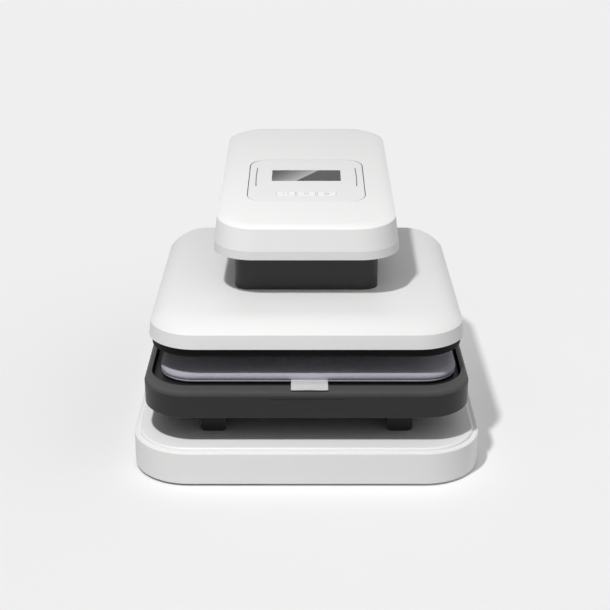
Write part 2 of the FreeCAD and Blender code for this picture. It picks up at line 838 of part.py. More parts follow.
def make_pinion():
    teeth = gear(pinion_teeth, gear_w, shaft_r, -math.pi / 2 + math.pi / pinion_teeth, 0.12)
    teeth.translate(V(0, y_motor, z_gear))
    return [teeth, cyl(0, y_motor, z_arm - 11.5, z_gear + gear_w, shaft_r)]


def make_screw_gear():
    wheel = gear(gear_teeth, gear_w, journal_r, math.pi / 2, 0.12)
    wheel.translate(V(0, y_press, z_gear))
    hub = cyl(0, y_press, z_arm_top + 1.0, z_gear, journal_r + 2.5)
    hub = hub.cut(cyl(0, y_press, z_arm_top, z_gear + 1.0, journal_r))
    return wheel.fuse(hub).removeSplitter()


def make_lead_screw():
    thread = cyl(0, y_press, z_carrier - screw_tail + 4.0, z_arm - 2 * bearing_h, screw_r)
    thread = thread.makeChamfer(1.0, edges_at(thread, z_carrier - screw_tail + 4.0))
    journal = cyl(0, y_press, z_arm - 2 * bearing_h, z_gear + gear_w + 3.0, journal_r)
    return thread.fuse(journal).removeSplitter()


def make_bushings():
    out = []
    for sx in (-1, 1):
        body = cyl(sx * rod_x, y_press, z_arm - 18.0, z_arm_top, bushing_r)
        brim = cyl(sx * rod_x, y_press, z_arm_top, z_arm_top + 4.0, bushing_r + 3.5)
        bore = cyl(sx * rod_x, y_press, z_arm - 20.0, z_arm_top + 6.0, rod_r + run_clear)
        out.append(body.fuse(brim).cut(bore).removeSplitter())
    return out


def make_power_board():
    y0 = y_press + neck_d / 2 + 30.0
    y1 = y_column - 50.0
    z = z_arm_top + 6.0
    half = 58.0
    spots = [(sx * (half - 6.0), y) for sx in (-1, 1) for y in (y0 + 6.0, y1 - 6.0)]
    board = box(-half, half, y0, y1, z, z + 1.6)
    board = board.cut([cyl(x, y, z - 1.0, z + 3.0, small_r) for x, y in spots])
    out = [board]
    for x, y in spots:
        post = cyl(x, y, z_arm_top, z, 3.5)
        out.append(post.fuse(cyl(x, y, z, z + 3.2, small_r)).removeSplitter())
    top = z + 1.6
    out.append(box(-40.0, -12.0, y0 + 12.0, y0 + 36.0, top, top + 18.0))
    out.append(box(14.0, 33.0, y0 + 12.0, y0 + 28.0, top, top + 15.0))
    out.append(cyl(0.0, y0 + 22.0, top, top + 14.0, 6.0))
    out.append(box(38.0, 46.0, y0 + 16.0, y1 - 16.0, top, top + 12.0))
    return out


# Press head: cover, skirt, plate, heater, blanket, carrier, rods, nut and neck
ram_inset = 30.0
ram_posts = [(sx * (carrier_side / 2 - ram_inset), sy * (carrier_side / 2 - ram_inset - 10.0))
             for sx in (-1, 1) for sy in (-1, 1)]
standoffs = [(sx * (heater_reach - 30.0), sy * heater_pitch) for sx in (-1, 1) for sy in (-1, 1)]
standoffs += [(-heater_reach, 0.0), (heater_reach, 0.0)]
neck_ties = [(sx * (neck_w / 2 - 9.0), sy * (neck_d / 2 - 30.0)) for sx in (-1, 1) for sy in (-1, 1)]
plate_clear = 0.6
lip_mid = (plate_side / 2 + plate_clear + cover_side / 2 - skirt_inset - skirt_wall) / 2
skirt_ties = [(sx * lip_mid, sy * 100.0) for sx in (-1, 1) for sy in (-1, 1)]
skirt_ties += [(sy * 100.0, sx * lip_mid) for sx in (-1, 1) for sy in (-1, 1)]
tie_r = 3.2
standoff_r = 6.0


def square(side, r, z0, z1):
    """Square block centred on the press axis."""
    return slab(side, y_press - side / 2, y_press + side / 2, r, z0, z1)


def cover_wire(inset, drawn, z):
    """Outline of the plate cover at one level, drawn in by a share of its roundings."""
    half = cover_side / 2 - inset - drawn * cover_round_side
    y0 = y_cover + inset + drawn * cover_round_front
    y1 = y_cover_rear - inset - drawn * cover_round_rear
    r = max(cover_r - inset - drawn * (cover_round_side + cover_round_front) / 2, 4.0)
    return rounded_wire([(-half, y0), (half, y0), (half, y1), (-half, y1)], [r] * 4, z)


def cover_form(inset, z0):
    """The plate cover as a solid from z0 up, drawn in by inset all round."""
    z1 = z_cover - cover_round_h - inset
    foot = cover_wire(inset, 0.0, z0)
    sides = Part.makeLoft([foot, cover_wire(inset + cover_draft, 0.0, z1)], True, True)
    top = crowned(cover_wire, inset, cover_round_h, cover_draft)
    top.translate(V(0, 0, z_cover))
    return sides.fuse(top).removeSplitter()


def make_plate_cover():
    body = cover_form(0.0, z_edge).cut(cover_form(cover_wall, z_edge - 1.0))
    under = z_cover - cover_wall
    bosses = [cyl(x, y_press + y, z_carrier_top, under + 0.5, 7.0) for x, y in ram_posts]
    z_tie = z_skirt + skirt_lip
    bosses += [cyl(x, y_press + y, z_tie, under + 0.5, tie_r) for x, y in skirt_ties]
    roof = cover_form(cover_wall / 2, z_hot)
    body = body.fuse([b.common(roof) for b in bosses])
    cuts = [slab(neck_w - 28.0, y_press - neck_d / 2 + 14.0, y_press + neck_d / 2 - 14.0, 10.0,
                 under - 1.0, z_cover + 1.0)]
    cuts += [cyl(x, y_press + y, z_carrier_top - 1.0, under - 0.5, 2.0) for x, y in ram_posts]
    cuts += [cyl(x, y_press + y, z_tie - 1.0, z_tie + 9.0, 1.2) for x, y in skirt_ties]
    cuts += [cyl(x, y_press + y, under - 1.0, z_cover + 1.0, small_r) for x, y in neck_ties]
    return body.cut(cuts).removeSplitter()


def make_skirt():
    side = cover_side - 2 * skirt_inset
    z1 = z_edge + skirt_up
    outer = square(side, cover_r - skirt_inset, z_skirt, z1)
    inner = square(side - 2 * skirt_wall, cover_r - skirt_inset - skirt_wall, z_skirt + skirt_lip, z1 + 1.0)
    hole = plate_side + 2 * plate_clear
    window = square(hole, cover_r - cover_margin + plate_clear, z_skirt - 1.0, z1 + 1.0)
    body = outer.cut([inner, window])
    cuts = [cyl(x, y_press + y, z_skirt - 1.0, z_skirt + skirt_lip + 1.0, 1.2) for x, y in skirt_ties]
    cuts += [cyl(x, y_press + y, z_skirt - 1.0, z_skirt + 1.6, 2.4) for x, y in skirt_ties]
    return body.cut(cuts)


def heater_path(z):
    """Four passes joined by half turns, as in a rod heater cast into a plate."""
    r = heater_pitch / 2
    reach = heater_reach
    edges = []
    for i in range(4):
        y = y_press + (i - 1.5) * heater_pitch
        ends = (-reach, reach) if i % 2 == 0 else (reach, -reach)
        edges.append(Part.LineSegment(V(ends[0], y, z), V(ends[1], y, z)).toShape())
        if i < 3:
            side = 1 if i % 2 == 0 else -1
            x = side * reach
            edges.append(Part.Arc(V(x, y, z), V(x + side * r, y + r, z), V(x, y + 2 * r, z)).toShape())
    return Part.Wire(edges)


def heater_tube(r):
    start = V(-heater_reach, y_press - 1.5 * heater_pitch, z_plate_top)
    ring = Part.Wire(Part.makeCircle(r, start, V(1, 0, 0)))
    return heater_path(z_plate_top).makePipeShell([ring], True, False)


def make_heater():
    tube = heater_tube(heater_r)
    out = [tube]
    for sy in (-1, 1):
        y = y_press + sy * 1.5 * heater_pitch
        out.append(cyl_x(-heater_reach - 12.0, -heater_reach, y, z_plate_top, 1.6))
    return out


sensor_y = y_press + heater_pitch


def make_heat_plate():
    body = square(plate_side, cover_r - cover_margin, z_hot, z_plate_top)
    body = body.makeFillet(1.5, edges_at(body, z_hot))
    cuts = [heater_tube(heater_r)]
    for sy in (-1, 1):
        y = y_press + sy * 1.5 * heater_pitch
        cuts.append(cyl_x(-heater_reach - 13.0, -heater_reach, y, z_plate_top, 2.4))
    cuts += [cyl(x, y_press + y, z_plate_top - 8.0, z_plate_top + 1.0, 2.0) for x, y in standoffs]
    cuts.append(cyl(0.0, y_press - heater_pitch, z_plate_top - 6.0, z_plate_top + 1.0, 3.0))
    return body.cut(cuts)


def make_sensors():
    probe = cyl(0.0, y_press - heater_pitch, z_plate_top - 6.0, z_plate_top + 5.0, 3.0)
    cap = cyl(0.0, sensor_y, z_plate_top + 1.5, z_plate_top + 9.0, 8.0)
    foot = box(-16.0, 16.0, sensor_y - 5.0, sensor_y + 5.0, z_plate_top, z_plate_top + 1.5)
    return [probe, cap.fuse(foot).removeSplitter()]


def make_blanket():
    inset = 6.0
    z1 = z_plate_top + blanket_t
    body = square(plate_side - 2 * inset, cover_r - cover_margin - inset, z_plate_top, z1)
    cuts = [heater_tube(heater_r + 0.2)]
    for sy in (-1, 1):
        y = y_press + sy * 1.5 * heater_pitch
        cuts.append(cyl_x(-heater_reach - 13.0, -heater_reach, y, z_plate_top, 2.4))
    cuts += [cyl(x, y_press + y, z_plate_top - 1.0, z1 + 1.0, standoff_r + 0.3) for x, y in standoffs]
    cuts += [cyl(x, y_press + y, z1 - 8.0, z1 + 1.0, 5.0) for x, y in ram_posts]
    cuts.append(cyl(0.0, y_press, z_plate_top - 1.0, z1 + 1.0, screw_r + 3.0))
    cuts.append(cyl(0.0, y_press - heater_pitch, z_plate_top - 1.0, z1 + 1.0, 3.5))
    cuts.append(box(-17.0, 17.0, sensor_y - 9.0, sensor_y + 9.0, z_plate_top - 1.0, z1 + 1.0))
    return body.cut(cuts)


nut_r = 12.0
nut_flange_r = 18.0
nut_ties = [((nut_r + 3.0) * math.cos(math.radians(a)), (nut_r + 3.0) * math.sin(math.radians(a)))
            for a in (45, 135, 225, 315)]


def make_carrier():
    body = square(carrier_side, 12.0, z_carrier, z_carrier_top)
    cuts = [cyl(x, y_press + y, z_carrier - 1.0, z_carrier_top + 1.0, 2.0) for x, y in ram_posts + standoffs]
    cuts.append(cyl(0.0, y_press, z_carrier - 1.0, z_carrier_top + 1.0, screw_r + 2.0))
    cuts += [cyl(x, y_press + y, z_carrier - 1.0, z_carrier_top + 1.0, small_r) for x, y in nut_ties]
    cuts += [cyl(sx * rod_x, y_press, z_carrier - 1.0, z_carrier_top + 1.0, rod_r - 2.0) for sx in (-1, 1)]
    return body.cut(cuts)


def make_standoffs():
    out = []
    for x, y in standoffs:
        post = cyl(x, y_press + y, z_plate_top, z_carrier, standoff_r)
        post = post.cut(cyl(x, y_press + y, z_carrier - 8.0, z_carrier + 1.0, 2.0))
        out.append(post.fuse(cyl(x, y_press + y, z_plate_top - 8.0, z_plate_top, 2.0)).removeSplitter())
    return out


def make_guide_rods():
    out = []
    for sx in (-1, 1):
        rod = cyl(sx * rod_x, y_press, z_carrier_top, z_rod_top, rod_r)
        rod = rod.makeChamfer(1.0, edges_at(rod, z_rod_top))
        collar = cyl(sx * rod_x, y_press, z_carrier_top, z_carrier_top + 6.0, rod_r + 4.0)
        pin = cyl(sx * rod_x, y_press, z_carrier, z_carrier_top, rod_r - 2.0)
        out.append(rod.fuse([collar, pin]).removeSplitter())
    return out


def make_nut():
    flange = cyl(0.0, y_press, z_carrier_top, z_carrier_top + 5.0, nut_flange_r)
    body = cyl(0.0, y_press, z_carrier_top, z_carrier_top + 26.0, nut_r)
    cuts = [cyl(0.0, y_press, z_carrier_top - 1.0, z_carrier_top + 30.0, screw_r + run_clear)]
    cuts += [cyl(x, y_press + y, z_carrier_top - 1.0, z_carrier_top + 6.0, small_r) for x, y in nut_ties]
    return flange.fuse(body).cut(cuts).removeSplitter()


def make_press_screws():
    out = []
    for x, y in ram_posts:
        out.append(pan_screw(x, y_press + y, z_carrier, 2.0, carrier_t + carrier_gap - 0.7, 4.0, 2.2))
    for x, y in standoffs:
        out.append(pan_screw(x, y_press + y, z_carrier_top, 2.0, carrier_t + 6.0, 4.0, 2.6, -1))
    for x, y in neck_ties:
        out.append(pan_screw(x, y_press + y, z_cover + neck_wall, small_r, neck_wall + cover_wall - 0.2,
                             2.8, 2.0, -1))
    for x, y in skirt_ties:
        out.append(pan_screw(x, y_press + y, z_skirt + 1.6, 1.2, skirt_lip - 1.6 + 8.0, 2.2, 1.2))
    for x, y in nut_ties:
        out.append(pan_screw(x, y_press + y, z_carrier, small_r, carrier_t + 5.0, 2.6, 1.8))
    return out


def make_neck():
    y0 = y_press - neck_d / 2
    y1 = y_press + neck_d / 2
    outer = slab(neck_w, y0, y1, neck_r, z_cover, z_neck_top)
    inner = slab(neck_w - 2 * neck_wall, y0 + neck_wall, y1 - neck_wall, neck_r - neck_wall,
                 z_cover + neck_wall, z_neck_top + 1.0)
    hole = slab(neck_w - 32.0, y0 + 16.0, y1 - 16.0, 8.0, z_cover - 1.0, z_cover + neck_wall + 1.0)
    notch = box(-frame_w / 2 - 4.0, frame_w / 2 + 4.0, y1 - neck_r / 2, y1 + 1.0,
                z_arm - 6.0, z_neck_top + 1.0)
    body = outer.cut([inner, hole, notch])
    return body.cut([cyl(x, y_press + y, z_cover - 1.0, z_cover + neck_wall + 1.0, small_r)
                     for x, y in neck_ties])


# Tray: bevelled rim round a well, hollow below with a finger recess in front
tray_screw_rows = [y_cover + 30.0 + i * 116.0 for i in range(4)]
runner_mid = runner_x + runner_w / 2 - 3.0
runner_top = z_floor - floor_t
grip_y = y_tray + tray_wall + grip_d


def make_tray():
    body = slab(tray_w, y_tray, y_tray_rear, tray_r, z_tray, z_crease)
    body = body.makeFillet(1.5, edges_at(body, z_tray))
    low = rect_wire(tray_w, y_tray, y_tray_rear, tray_r, z_crease)
    high = rect_wire(tray_w - 2 * bevel_side, y_tray + bevel_front, y_tray_rear - bevel_side,
                     tray_r - bevel_side, z_rim)
    body = body.fuse(stack([low, high]))
    well = slab(well_w, y_well, y_well_rear, well_r, z_floor, z_rim + 1.0)
    under = slab(tray_w - 2 * tray_wall, y_tray + tray_wall, y_tray_rear - tray_wall,
                 tray_r - tray_wall, z_tray - 1.0, z_floor - floor_t)
    body = body.cut([well, under])
    half = grip_w / 2
    rear = box(-half - tray_wall, half + tray_wall, grip_y, grip_y + tray_wall, z_tray, z_floor - floor_t + 0.5)
    sides = [box(x, x + tray_wall, y_tray + tray_wall - 0.5, grip_y + 0.5, z_tray, z_floor - floor_t + 0.5)
             for x in (-half - tray_wall, half)]
    body = body.fuse([rear] + sides)
    z_line = z_crease - grip_line_drop
    line = box(-grip_line_w / 2, grip_line_w / 2, y_tray - 1.0, y_tray + 0.5, z_line - 0.35, z_line + 0.35)
    cuts = [line]
    for sx in (-1, 1):
        for y in tray_screw_rows:
            cuts.append(cyl(sx * runner_mid, y, z_floor - floor_t - 1.0, z_floor + 1.0, 2.0))
    return body.cut(cuts).removeSplitter()


def make_under_plate():
    inset = plate_inset
    body = slab(pad_w - 2 * inset, y_pad + inset, y_pad_rear - inset, pad_r - inset,
                z_floor, z_floor + under_plate_t)
    cuts = [cyl(sx * runner_mid, y, z_floor - 1.0, z_floor + under_plate_t + 1.0, 2.0)
            for sx in (-1, 1) for y in tray_screw_rows]
    return body.cut(cuts)


def make_tray_screws():
    return [pan_screw(sx * runner_mid, y, runner_top - runner_wall, 2.0,
                      runner_wall + floor_t + under_plate_t - 0.2, 3.6, 2.2)
            for sx in (-1, 1) for y in tray_screw_rows]


def make_pad():
    """Thin cushion: rolled edge, tucked in under a low seam, with a slight crown."""
    profile = [(0.0, 5.0), (1.2, 2.4), (seam_up - 1.0, 0.6), (seam_up, 1.4), (seam_up + 0.9, 0.3),
               (seam_up + 2.6, 0.0), (pad_t - 3.6, 0.6), (pad_t - 1.8, 2.0), (pad_t - 0.6, 4.2),
               (pad_t, 8.0), (pad_t + pad_crown * 0.6, 40.0), (pad_t + pad_crown * 0.9, 90.0),
               (pad_t + pad_crown, 140.0)]
    wires = []
    for up, inset in profile:
        r = max(pad_r - inset, 12.0)
        wires.append(rect_wire(pad_w - 2 * inset, y_pad + inset, y_pad_rear - inset, r, z_pad + up))
    body = stack(wires)
    body.translate(V(pad_shift, 0, 0))
    return body


def make_tag():
    """Cloth tag: sewn in at the seam, laid over the front rim of the tray."""
    y0 = y_pad - soft_gap
    z0 = z_pad + seam_up + 0.6
    z1 = z_rim + soft_gap
    y1 = y_well
    y2 = y1 - tag_len
    points = [V(0, y0, z0), V(0, y1, z1), V(0, y2, z1), V(0, y2, z1 + tag_t),
              V(0, y1 + 0.2, z1 + tag_t), V(0, y0, z0 + tag_t + 0.2)]
    face = Part.Face(Part.makePolygon(points + [points[0]]))
    body = face.extrude(V(tag_w, 0, 0))
    body.translate(V(tag_shift - tag_w / 2, 0, 0))
    return body


# Runner covers and slides, drawn for the right side and mirrored to the left
slide_z = z_deck + bracket_t + slide_half + 2.0
slide_y = y_cover + 5.0
outer_ball_t = 5.2
inner_ball_t = 8.2
flange_gap = 2 * ball_r - 2 * 0.8
mid_half = slide_half - flange_t - flange_gap
in_half = mid_half - flange_t - flange_gap
outer_ball_h = slide_half - flange_t - flange_gap / 2
inner_ball_h = mid_half - flange_t - flange_gap / 2


def both_sides(make):
    right = make()
    left = make().mirror(V(0, 0, 0), V(1, 0, 0))
    return [left, right]


def make_runner():
    y0 = y_cover - runner_lead
    y1 = y0 + runner_len
    z0 = z_deck + runner_clear
    points = [(runner_x, z0), (runner_out, z0), (runner_out, runner_top), (runner_x, runner_top)]
    wire = rounded_wire(points, [runner_r, runner_r, 0.6, 0.6], 0.0)
    block = Part.Face(wire).extrude(V(0, 0, y1 - y0))
    block.rotate(V(0, 0, 0), V(1, 0, 0), 90)
    block.translate(V(0, y1, 0))
    hollow = box(runner_x + runner_wall, runner_out - runner_wall, y0 + 2.0, y1 + 1.0,
                 z0 - 1.0, runner_top - runner_wall)
    cuts = [hollow]
    for y in tray_screw_rows:
        cuts.append(cyl(runner_mid, y, runner_top - runner_wall - 1.0, runner_top + 1.0, 2.0))
    return block.cut(cuts)


def make_bracket():
    y0 = slide_y
    y1 = slide_y + slide_len
    web = box(bracket_in, bracket_x, y0, y1, z_deck, slide_z + slide_half + 0.5)
    foot = box(foot_edge, bracket_in, y0, y1, z_deck, z_deck + bracket_t)
    body = web.fuse(foot)
    return body.cut([cyl(foot_hole_x, y, z_deck - 1.0, z_deck + bracket_t + 1.0, rail_screw_r)
                     for y in rail_screw_rows]).removeSplitter()


def make_rail_screws():
    return [pan_screw(sx * foot_hole_x, y, z_deck + bracket_t, rail_screw_r,
                      bracket_t + base_wall + chassis_t, 3.4, 2.2, -1)
            for sx in (-1, 1) for y in rail_screw_rows]


def channel(t_web, t_far, half, web_first):
    """Slide member: a web with two flanges, open on the other side."""
    y0 = slide_y
    y1 = slide_y + slide_len
    x0 = bracket_x + t_web
    x1 = bracket_x + t_far
    body = box(x0, x1, y0, y1, slide_z - half, slide_z + half)
    inner = half - flange_t
    if web_first:
        hollow = box(x0 + slide_sheet, x1 + 1.0, y0 - 1.0, y1 + 1.0, slide_z - inner, slide_z + inner)
    else:
        hollow = box(x0 - 1.0, x1 - slide_sheet, y0 - 1.0, y1 + 1.0, slide_z - inner, slide_z + inner)
    return body.cut(hollow)


def races(t, h):
    out = []
    for s in (-1, 1):
        out.append(cyl_y(bracket_x + t, slide_y - 1.0, slide_y + slide_len + 1.0, slide_z + s * h,
                         ball_r + race_clear))
    return out


def make_fixed_member():
    return channel(0.0, 8.5, slide_half, True).cut(races(outer_ball_t, outer_ball_h))


def make_middle_member():
    body = channel(2.1, 10.0, mid_half, True)
    return body.cut(races(outer_ball_t, outer_ball_h) + races(inner_ball_t, inner_ball_h))


def make_tray_member():
    return channel(5.6, 11.5, in_half, False).cut(races(inner_ball_t, inner_ball_h))


cage_y = slide_y + tray_travel / 4 + cage_spare


def make_cage(t, h):
    """One strip above and one below, each with its row of balls."""
    out = []
    count = int(cage_len / ball_pitch)
    start = cage_y + (cage_len - (count - 1) * ball_pitch) / 2
    for s in (-1, 1):
        z = slide_z + s * h
        x = bracket_x + t
        strip = box(x - cage_w / 2, x + cage_w / 2, cage_y, cage_y + cage_len, z - cage_t / 2, z + cage_t / 2)
        holes = [cyl(x, start + i * ball_pitch, z - 2.0, z + 2.0, ball_r + 0.06) for i in range(count)]
        out.append(strip.cut(holes))
        for i in range(count):
            out.append(Part.makeSphere(ball_r, V(x, start + i * ball_pitch, z)))
    return out


def cages(t, h):
    right = make_cage(t, h)
    left = [s.mirror(V(0, 0, 0), V(1, 0, 0)) for s in make_cage(t, h)]
    return left + right


save("base_shell", make_base_shell())
save("base_plate", make_base_plate())
save("base_feet", make_feet())
save("base_screws", make_base_screws())
save("base_chassis", make_chassis())
save("rail_brackets", both_sides(make_bracket))
save("rail_screws", make_rail_screws())
save("slide_fixed_members", both_sides(make_fixed_member))
save("slide_middle_members", both_sides(make_middle_member))
save("slide_tray_members", both_sides(make_tray_member))
save("ball_cages_outer", cages(outer_ball_t, outer_ball_h))
save("ball_cages_inner", cages(inner_ball_t, inner_ball_h))
save("runner_covers", both_sides(make_runner))
save("tray", make_tray())
save("tray_plate", make_under_plate())
save("tray_screws", make_tray_screws())
save("press_pad", make_pad())
save("pad_tag", make_tag())
save("column_frame", make_column_frame())
save("frame_bolts", make_frame_bolts())
save("column_cover", make_column_cover())
save("rear_panel", make_rear_panel())
save("rear_screws", make_rear_screws())
save("power_inlet", make_power_inlet())
save("switch_housing", make_switch_housing())
save("rocker", make_rocker())
save("head_frame", make_head_frame())
save("head_bottom_cover", make_bottom_cover())
save("head_top_shell", make_top_shell())
save("head_screws", make_head_screws())
save("control_panel", make_panel())
save("display_window", make_window())
save("display_module", make_display())
save("light_slits", make_slits())
save("control_board", make_board())
save("board_screws", make_board_screws())
save("key_left", make_key(-key_pitch))
save("key_middle", make_key(0.0))
save("key_right", make_key(key_pitch))
save("gear_motor", make_motor())
save("motor_pinion", make_pinion())
save("screw_gear", make_screw_gear())
save("lead_screw", make_lead_screw())
save("bearing_housing", make_bearing_housing())
save("screw_bearings", make_bearings())
save("drive_screws", make_drive_screws())
save("guide_bushings", make_bushings())
save("power_board", make_power_board())
save("plate_cover", make_plate_cover())
save("plate_skirt", make_skirt())
save("heat_plate", make_heat_plate())
save("heating_element", make_heater())
save("heat_sensors", make_sensors())
save("heat_blanket", make_blanket())
save("carrier_plate", make_carrier())
save("standoffs", make_standoffs())
save("guide_rods", make_guide_rods())
save("lift_nut", make_nut())
save("press_screws", make_press_screws())
save("neck_cover", make_neck())
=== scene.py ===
import math

import bmesh
import bpy
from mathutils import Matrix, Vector, noise


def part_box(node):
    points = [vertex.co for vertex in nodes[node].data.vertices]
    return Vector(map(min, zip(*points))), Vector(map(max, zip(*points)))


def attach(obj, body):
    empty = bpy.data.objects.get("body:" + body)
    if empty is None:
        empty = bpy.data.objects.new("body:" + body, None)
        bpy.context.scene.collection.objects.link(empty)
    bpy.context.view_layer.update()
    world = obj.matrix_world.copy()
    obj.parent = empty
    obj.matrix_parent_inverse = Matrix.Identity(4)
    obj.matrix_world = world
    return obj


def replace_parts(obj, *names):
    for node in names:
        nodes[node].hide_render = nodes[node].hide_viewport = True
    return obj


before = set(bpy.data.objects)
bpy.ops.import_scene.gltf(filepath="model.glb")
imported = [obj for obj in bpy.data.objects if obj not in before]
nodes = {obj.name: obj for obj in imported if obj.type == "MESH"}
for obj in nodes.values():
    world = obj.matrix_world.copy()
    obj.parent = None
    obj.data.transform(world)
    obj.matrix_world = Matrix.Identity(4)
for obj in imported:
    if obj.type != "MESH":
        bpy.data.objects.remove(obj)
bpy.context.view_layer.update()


# The base shell: white injection-moulded plastic with a deep plain front face,
# a stepped rim and a flat deck, grained in the mould.
class Field:
    """A value that changes over a surface; arithmetic on it adds the nodes."""

    def __init__(self, work, socket):
        self.work = work
        self.socket = socket

    def math(self, operation, *terms):
        return self.work.add("ShaderNodeMath", {"operation": operation}, dict(enumerate(terms)))

    def of(self, operation, *others):
        return self.math(operation, self, *others)

    def output(self, name):
        return Field(self.work, self.socket.node.outputs[name])

    def __add__(self, other):
        return self.math("ADD", self, other)

    def __radd__(self, other):
        return self.math("ADD", other, self)

    def __sub__(self, other):
        return self.math("SUBTRACT", self, other)

    def __rsub__(self, other):
        return self.math("SUBTRACT", other, self)

    def __mul__(self, other):
        return self.math("MULTIPLY", self, other)

    def __rmul__(self, other):
        return self.math("MULTIPLY", other, self)

    def __truediv__(self, other):
        return self.math("DIVIDE", self, other)

    def __rtruediv__(self, other):
        return self.math("DIVIDE", other, self)


class NodeWork:
    """A node tree in the making: every node in it comes from add."""

    def __init__(self, tree):
        self.tree = tree
        self.tree.nodes.clear()

    def add(self, kind, settings=None, inputs=None, output=0):
        node = self.tree.nodes.new(kind)
        for key, value in (settings or {}).items():
            setattr(node, key, value)
        for key, value in (inputs or {}).items():
            for one in value if isinstance(value, list) else [value]:
                if isinstance(one, Field):
                    self.tree.links.new(one.socket, node.inputs[key])
                else:
                    node.inputs[key].default_value = one
        return Field(self, node.outputs[output] if len(node.outputs) else None)


class Finish(NodeWork):
    """A material, or the surround, made of nodes."""

    def __init__(self, name, world=False):
        self.material = (bpy.data.worlds if world else bpy.data.materials).new(name)
        self.material.use_nodes = True
        super().__init__(self.material.node_tree)

    def place(self):
        """Where a point lies on the piece, in the frame's metres."""
        return self.add("ShaderNodeTexCoord", output="Object")

    def speckle(self, place, scale, detail=2.0, **more):
        """A broken pattern between 0 and 1, finer as the scale grows."""
        return self.add("ShaderNodeTexNoise", {},
                        {"Vector": place, "Scale": scale, "Detail": detail, **more})

    def grey(self, level):
        return self.add("ShaderNodeCombineColor", {}, {0: level, 1: level, 2: level})

    def mix(self, factor, a, b):
        """Colour a, turning to colour b as the factor goes from 0 to 1."""
        a, b = ((*c, 1.0) if isinstance(c, tuple) else c for c in (a, b))
        return self.add("ShaderNodeMix", {"data_type": "RGBA"}, {0: factor, 6: a, 7: b}, 2)

    def surface(self, height=None, depth=0.0, **sockets):
        """The shader itself: its constants stand on its own sockets."""
        inputs = {key.replace("_", " "): value for key, value in sockets.items()}
        for key, value in inputs.items():
            if isinstance(value, tuple):
                inputs[key] = (*value, 1.0)
        if height is not None:
            inputs["Normal"] = self.add("ShaderNodeBump", {}, {"Distance": depth, "Height": height})
        shader = self.add("ShaderNodeBsdfPrincipled", {}, inputs)
        self.add("ShaderNodeOutputMaterial", {}, {"Surface": shader})
        return self.material


def dress(material, *names):
    for name in names:
        for slot in nodes[name].material_slots:
            slot.material = material


def moulded_plastic(name, colour, shade, roughness, grain=1100.0, depth=0.00006, gloss=0.5, painted_shade=None):
    """Moulded plastic: a pebbled grain, and a slow drift of shade from the flow of the melt."""
    finish = Finish(name)
    place = finish.place()
    flow = finish.speckle(place, 5.0, 3.0)
    pebble = finish.speckle(place, grain)
    rubbed = finish.speckle(place, 38.0, 4.0)
    colour = finish.mix(flow * 0.7 + pebble * 0.3, shade, colour)
    # painted shade: where a mask is given, the plastic is coloured darker there
    if painted_shade:
        colour = finish.mix(painted_shade(finish, place) * (0.8 + 0.2 * rubbed), colour, (0.05, 0.05, 0.05))
    return finish.surface(
        height=pebble, depth=depth, Base_Color=colour,
        Roughness=roughness - 0.05 + rubbed * 0.1, Specular_IOR_Level=gloss)


base_plastic = moulded_plastic("base_white_plastic", (0.94, 0.94, 0.935), (0.925, 0.925, 0.92), 0.42)
dress(base_plastic, "base_shell")


# The base plate: a galvanised sheet that closes the base from below. Pan head
# crosshead screws, driven up into the shell's pillars, hold it, and four
# rubber feet are glued to it.
def sheet_metal(name, colour, shade, roughness, along=(1.0, 1.0, 1.0), spangle=60.0):
    """Plated or rolled metal: spangles, and lines drawn out along the rolling direction."""
    finish = Finish(name)
    place = finish.place()
    drawn = finish.add("ShaderNodeMapping", {}, {"Vector": place, "Scale": along})
    lines = finish.speckle(drawn, 420.0, 3.0)
    facet = finish.add("ShaderNodeTexVoronoi", {}, {"Vector": place, "Scale": spangle}, "Color")
    facet = finish.add("ShaderNodeSeparateColor", {}, {"Color": facet})
    return finish.surface(
        height=lines, depth=0.00004,
        Base_Color=finish.mix(facet * 0.6 + lines * 0.4, shade, colour),
        Roughness=roughness - 0.08 + facet * 0.08 + lines * 0.1,
        Metallic=1.0)


def rubber(name, colour, shade):
    """Moulded rubber: dull, with a dusty bloom in patches."""
    finish = Finish(name)
    bloom = finish.speckle(finish.place(), 120.0, 5.0)
    return finish.surface(
        height=bloom, depth=0.0001,
        Base_Color=finish.mix(bloom, colour, shade),
        Roughness=0.68 + bloom * 0.2)


def new_piece(name, mesh, material, body, crease=180.0):
    """The finished piece: its material, its shading and the body that it rides on."""
    if isinstance(mesh, bmesh.types.BMesh):
        built, mesh = mesh, bpy.data.meshes.new(name)
        built.to_mesh(mesh)
        built.free()
    mesh.name = name
    piece = bpy.data.objects.new(name, mesh)
    bpy.context.scene.collection.objects.link(piece)
    mesh.materials.clear()
    mesh.materials.append(material)
    mesh.polygons.foreach_set("use_smooth", [True] * len(mesh.polygons))
    mesh.set_sharp_from_angle(angle=math.radians(crease))
    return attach(piece, body)


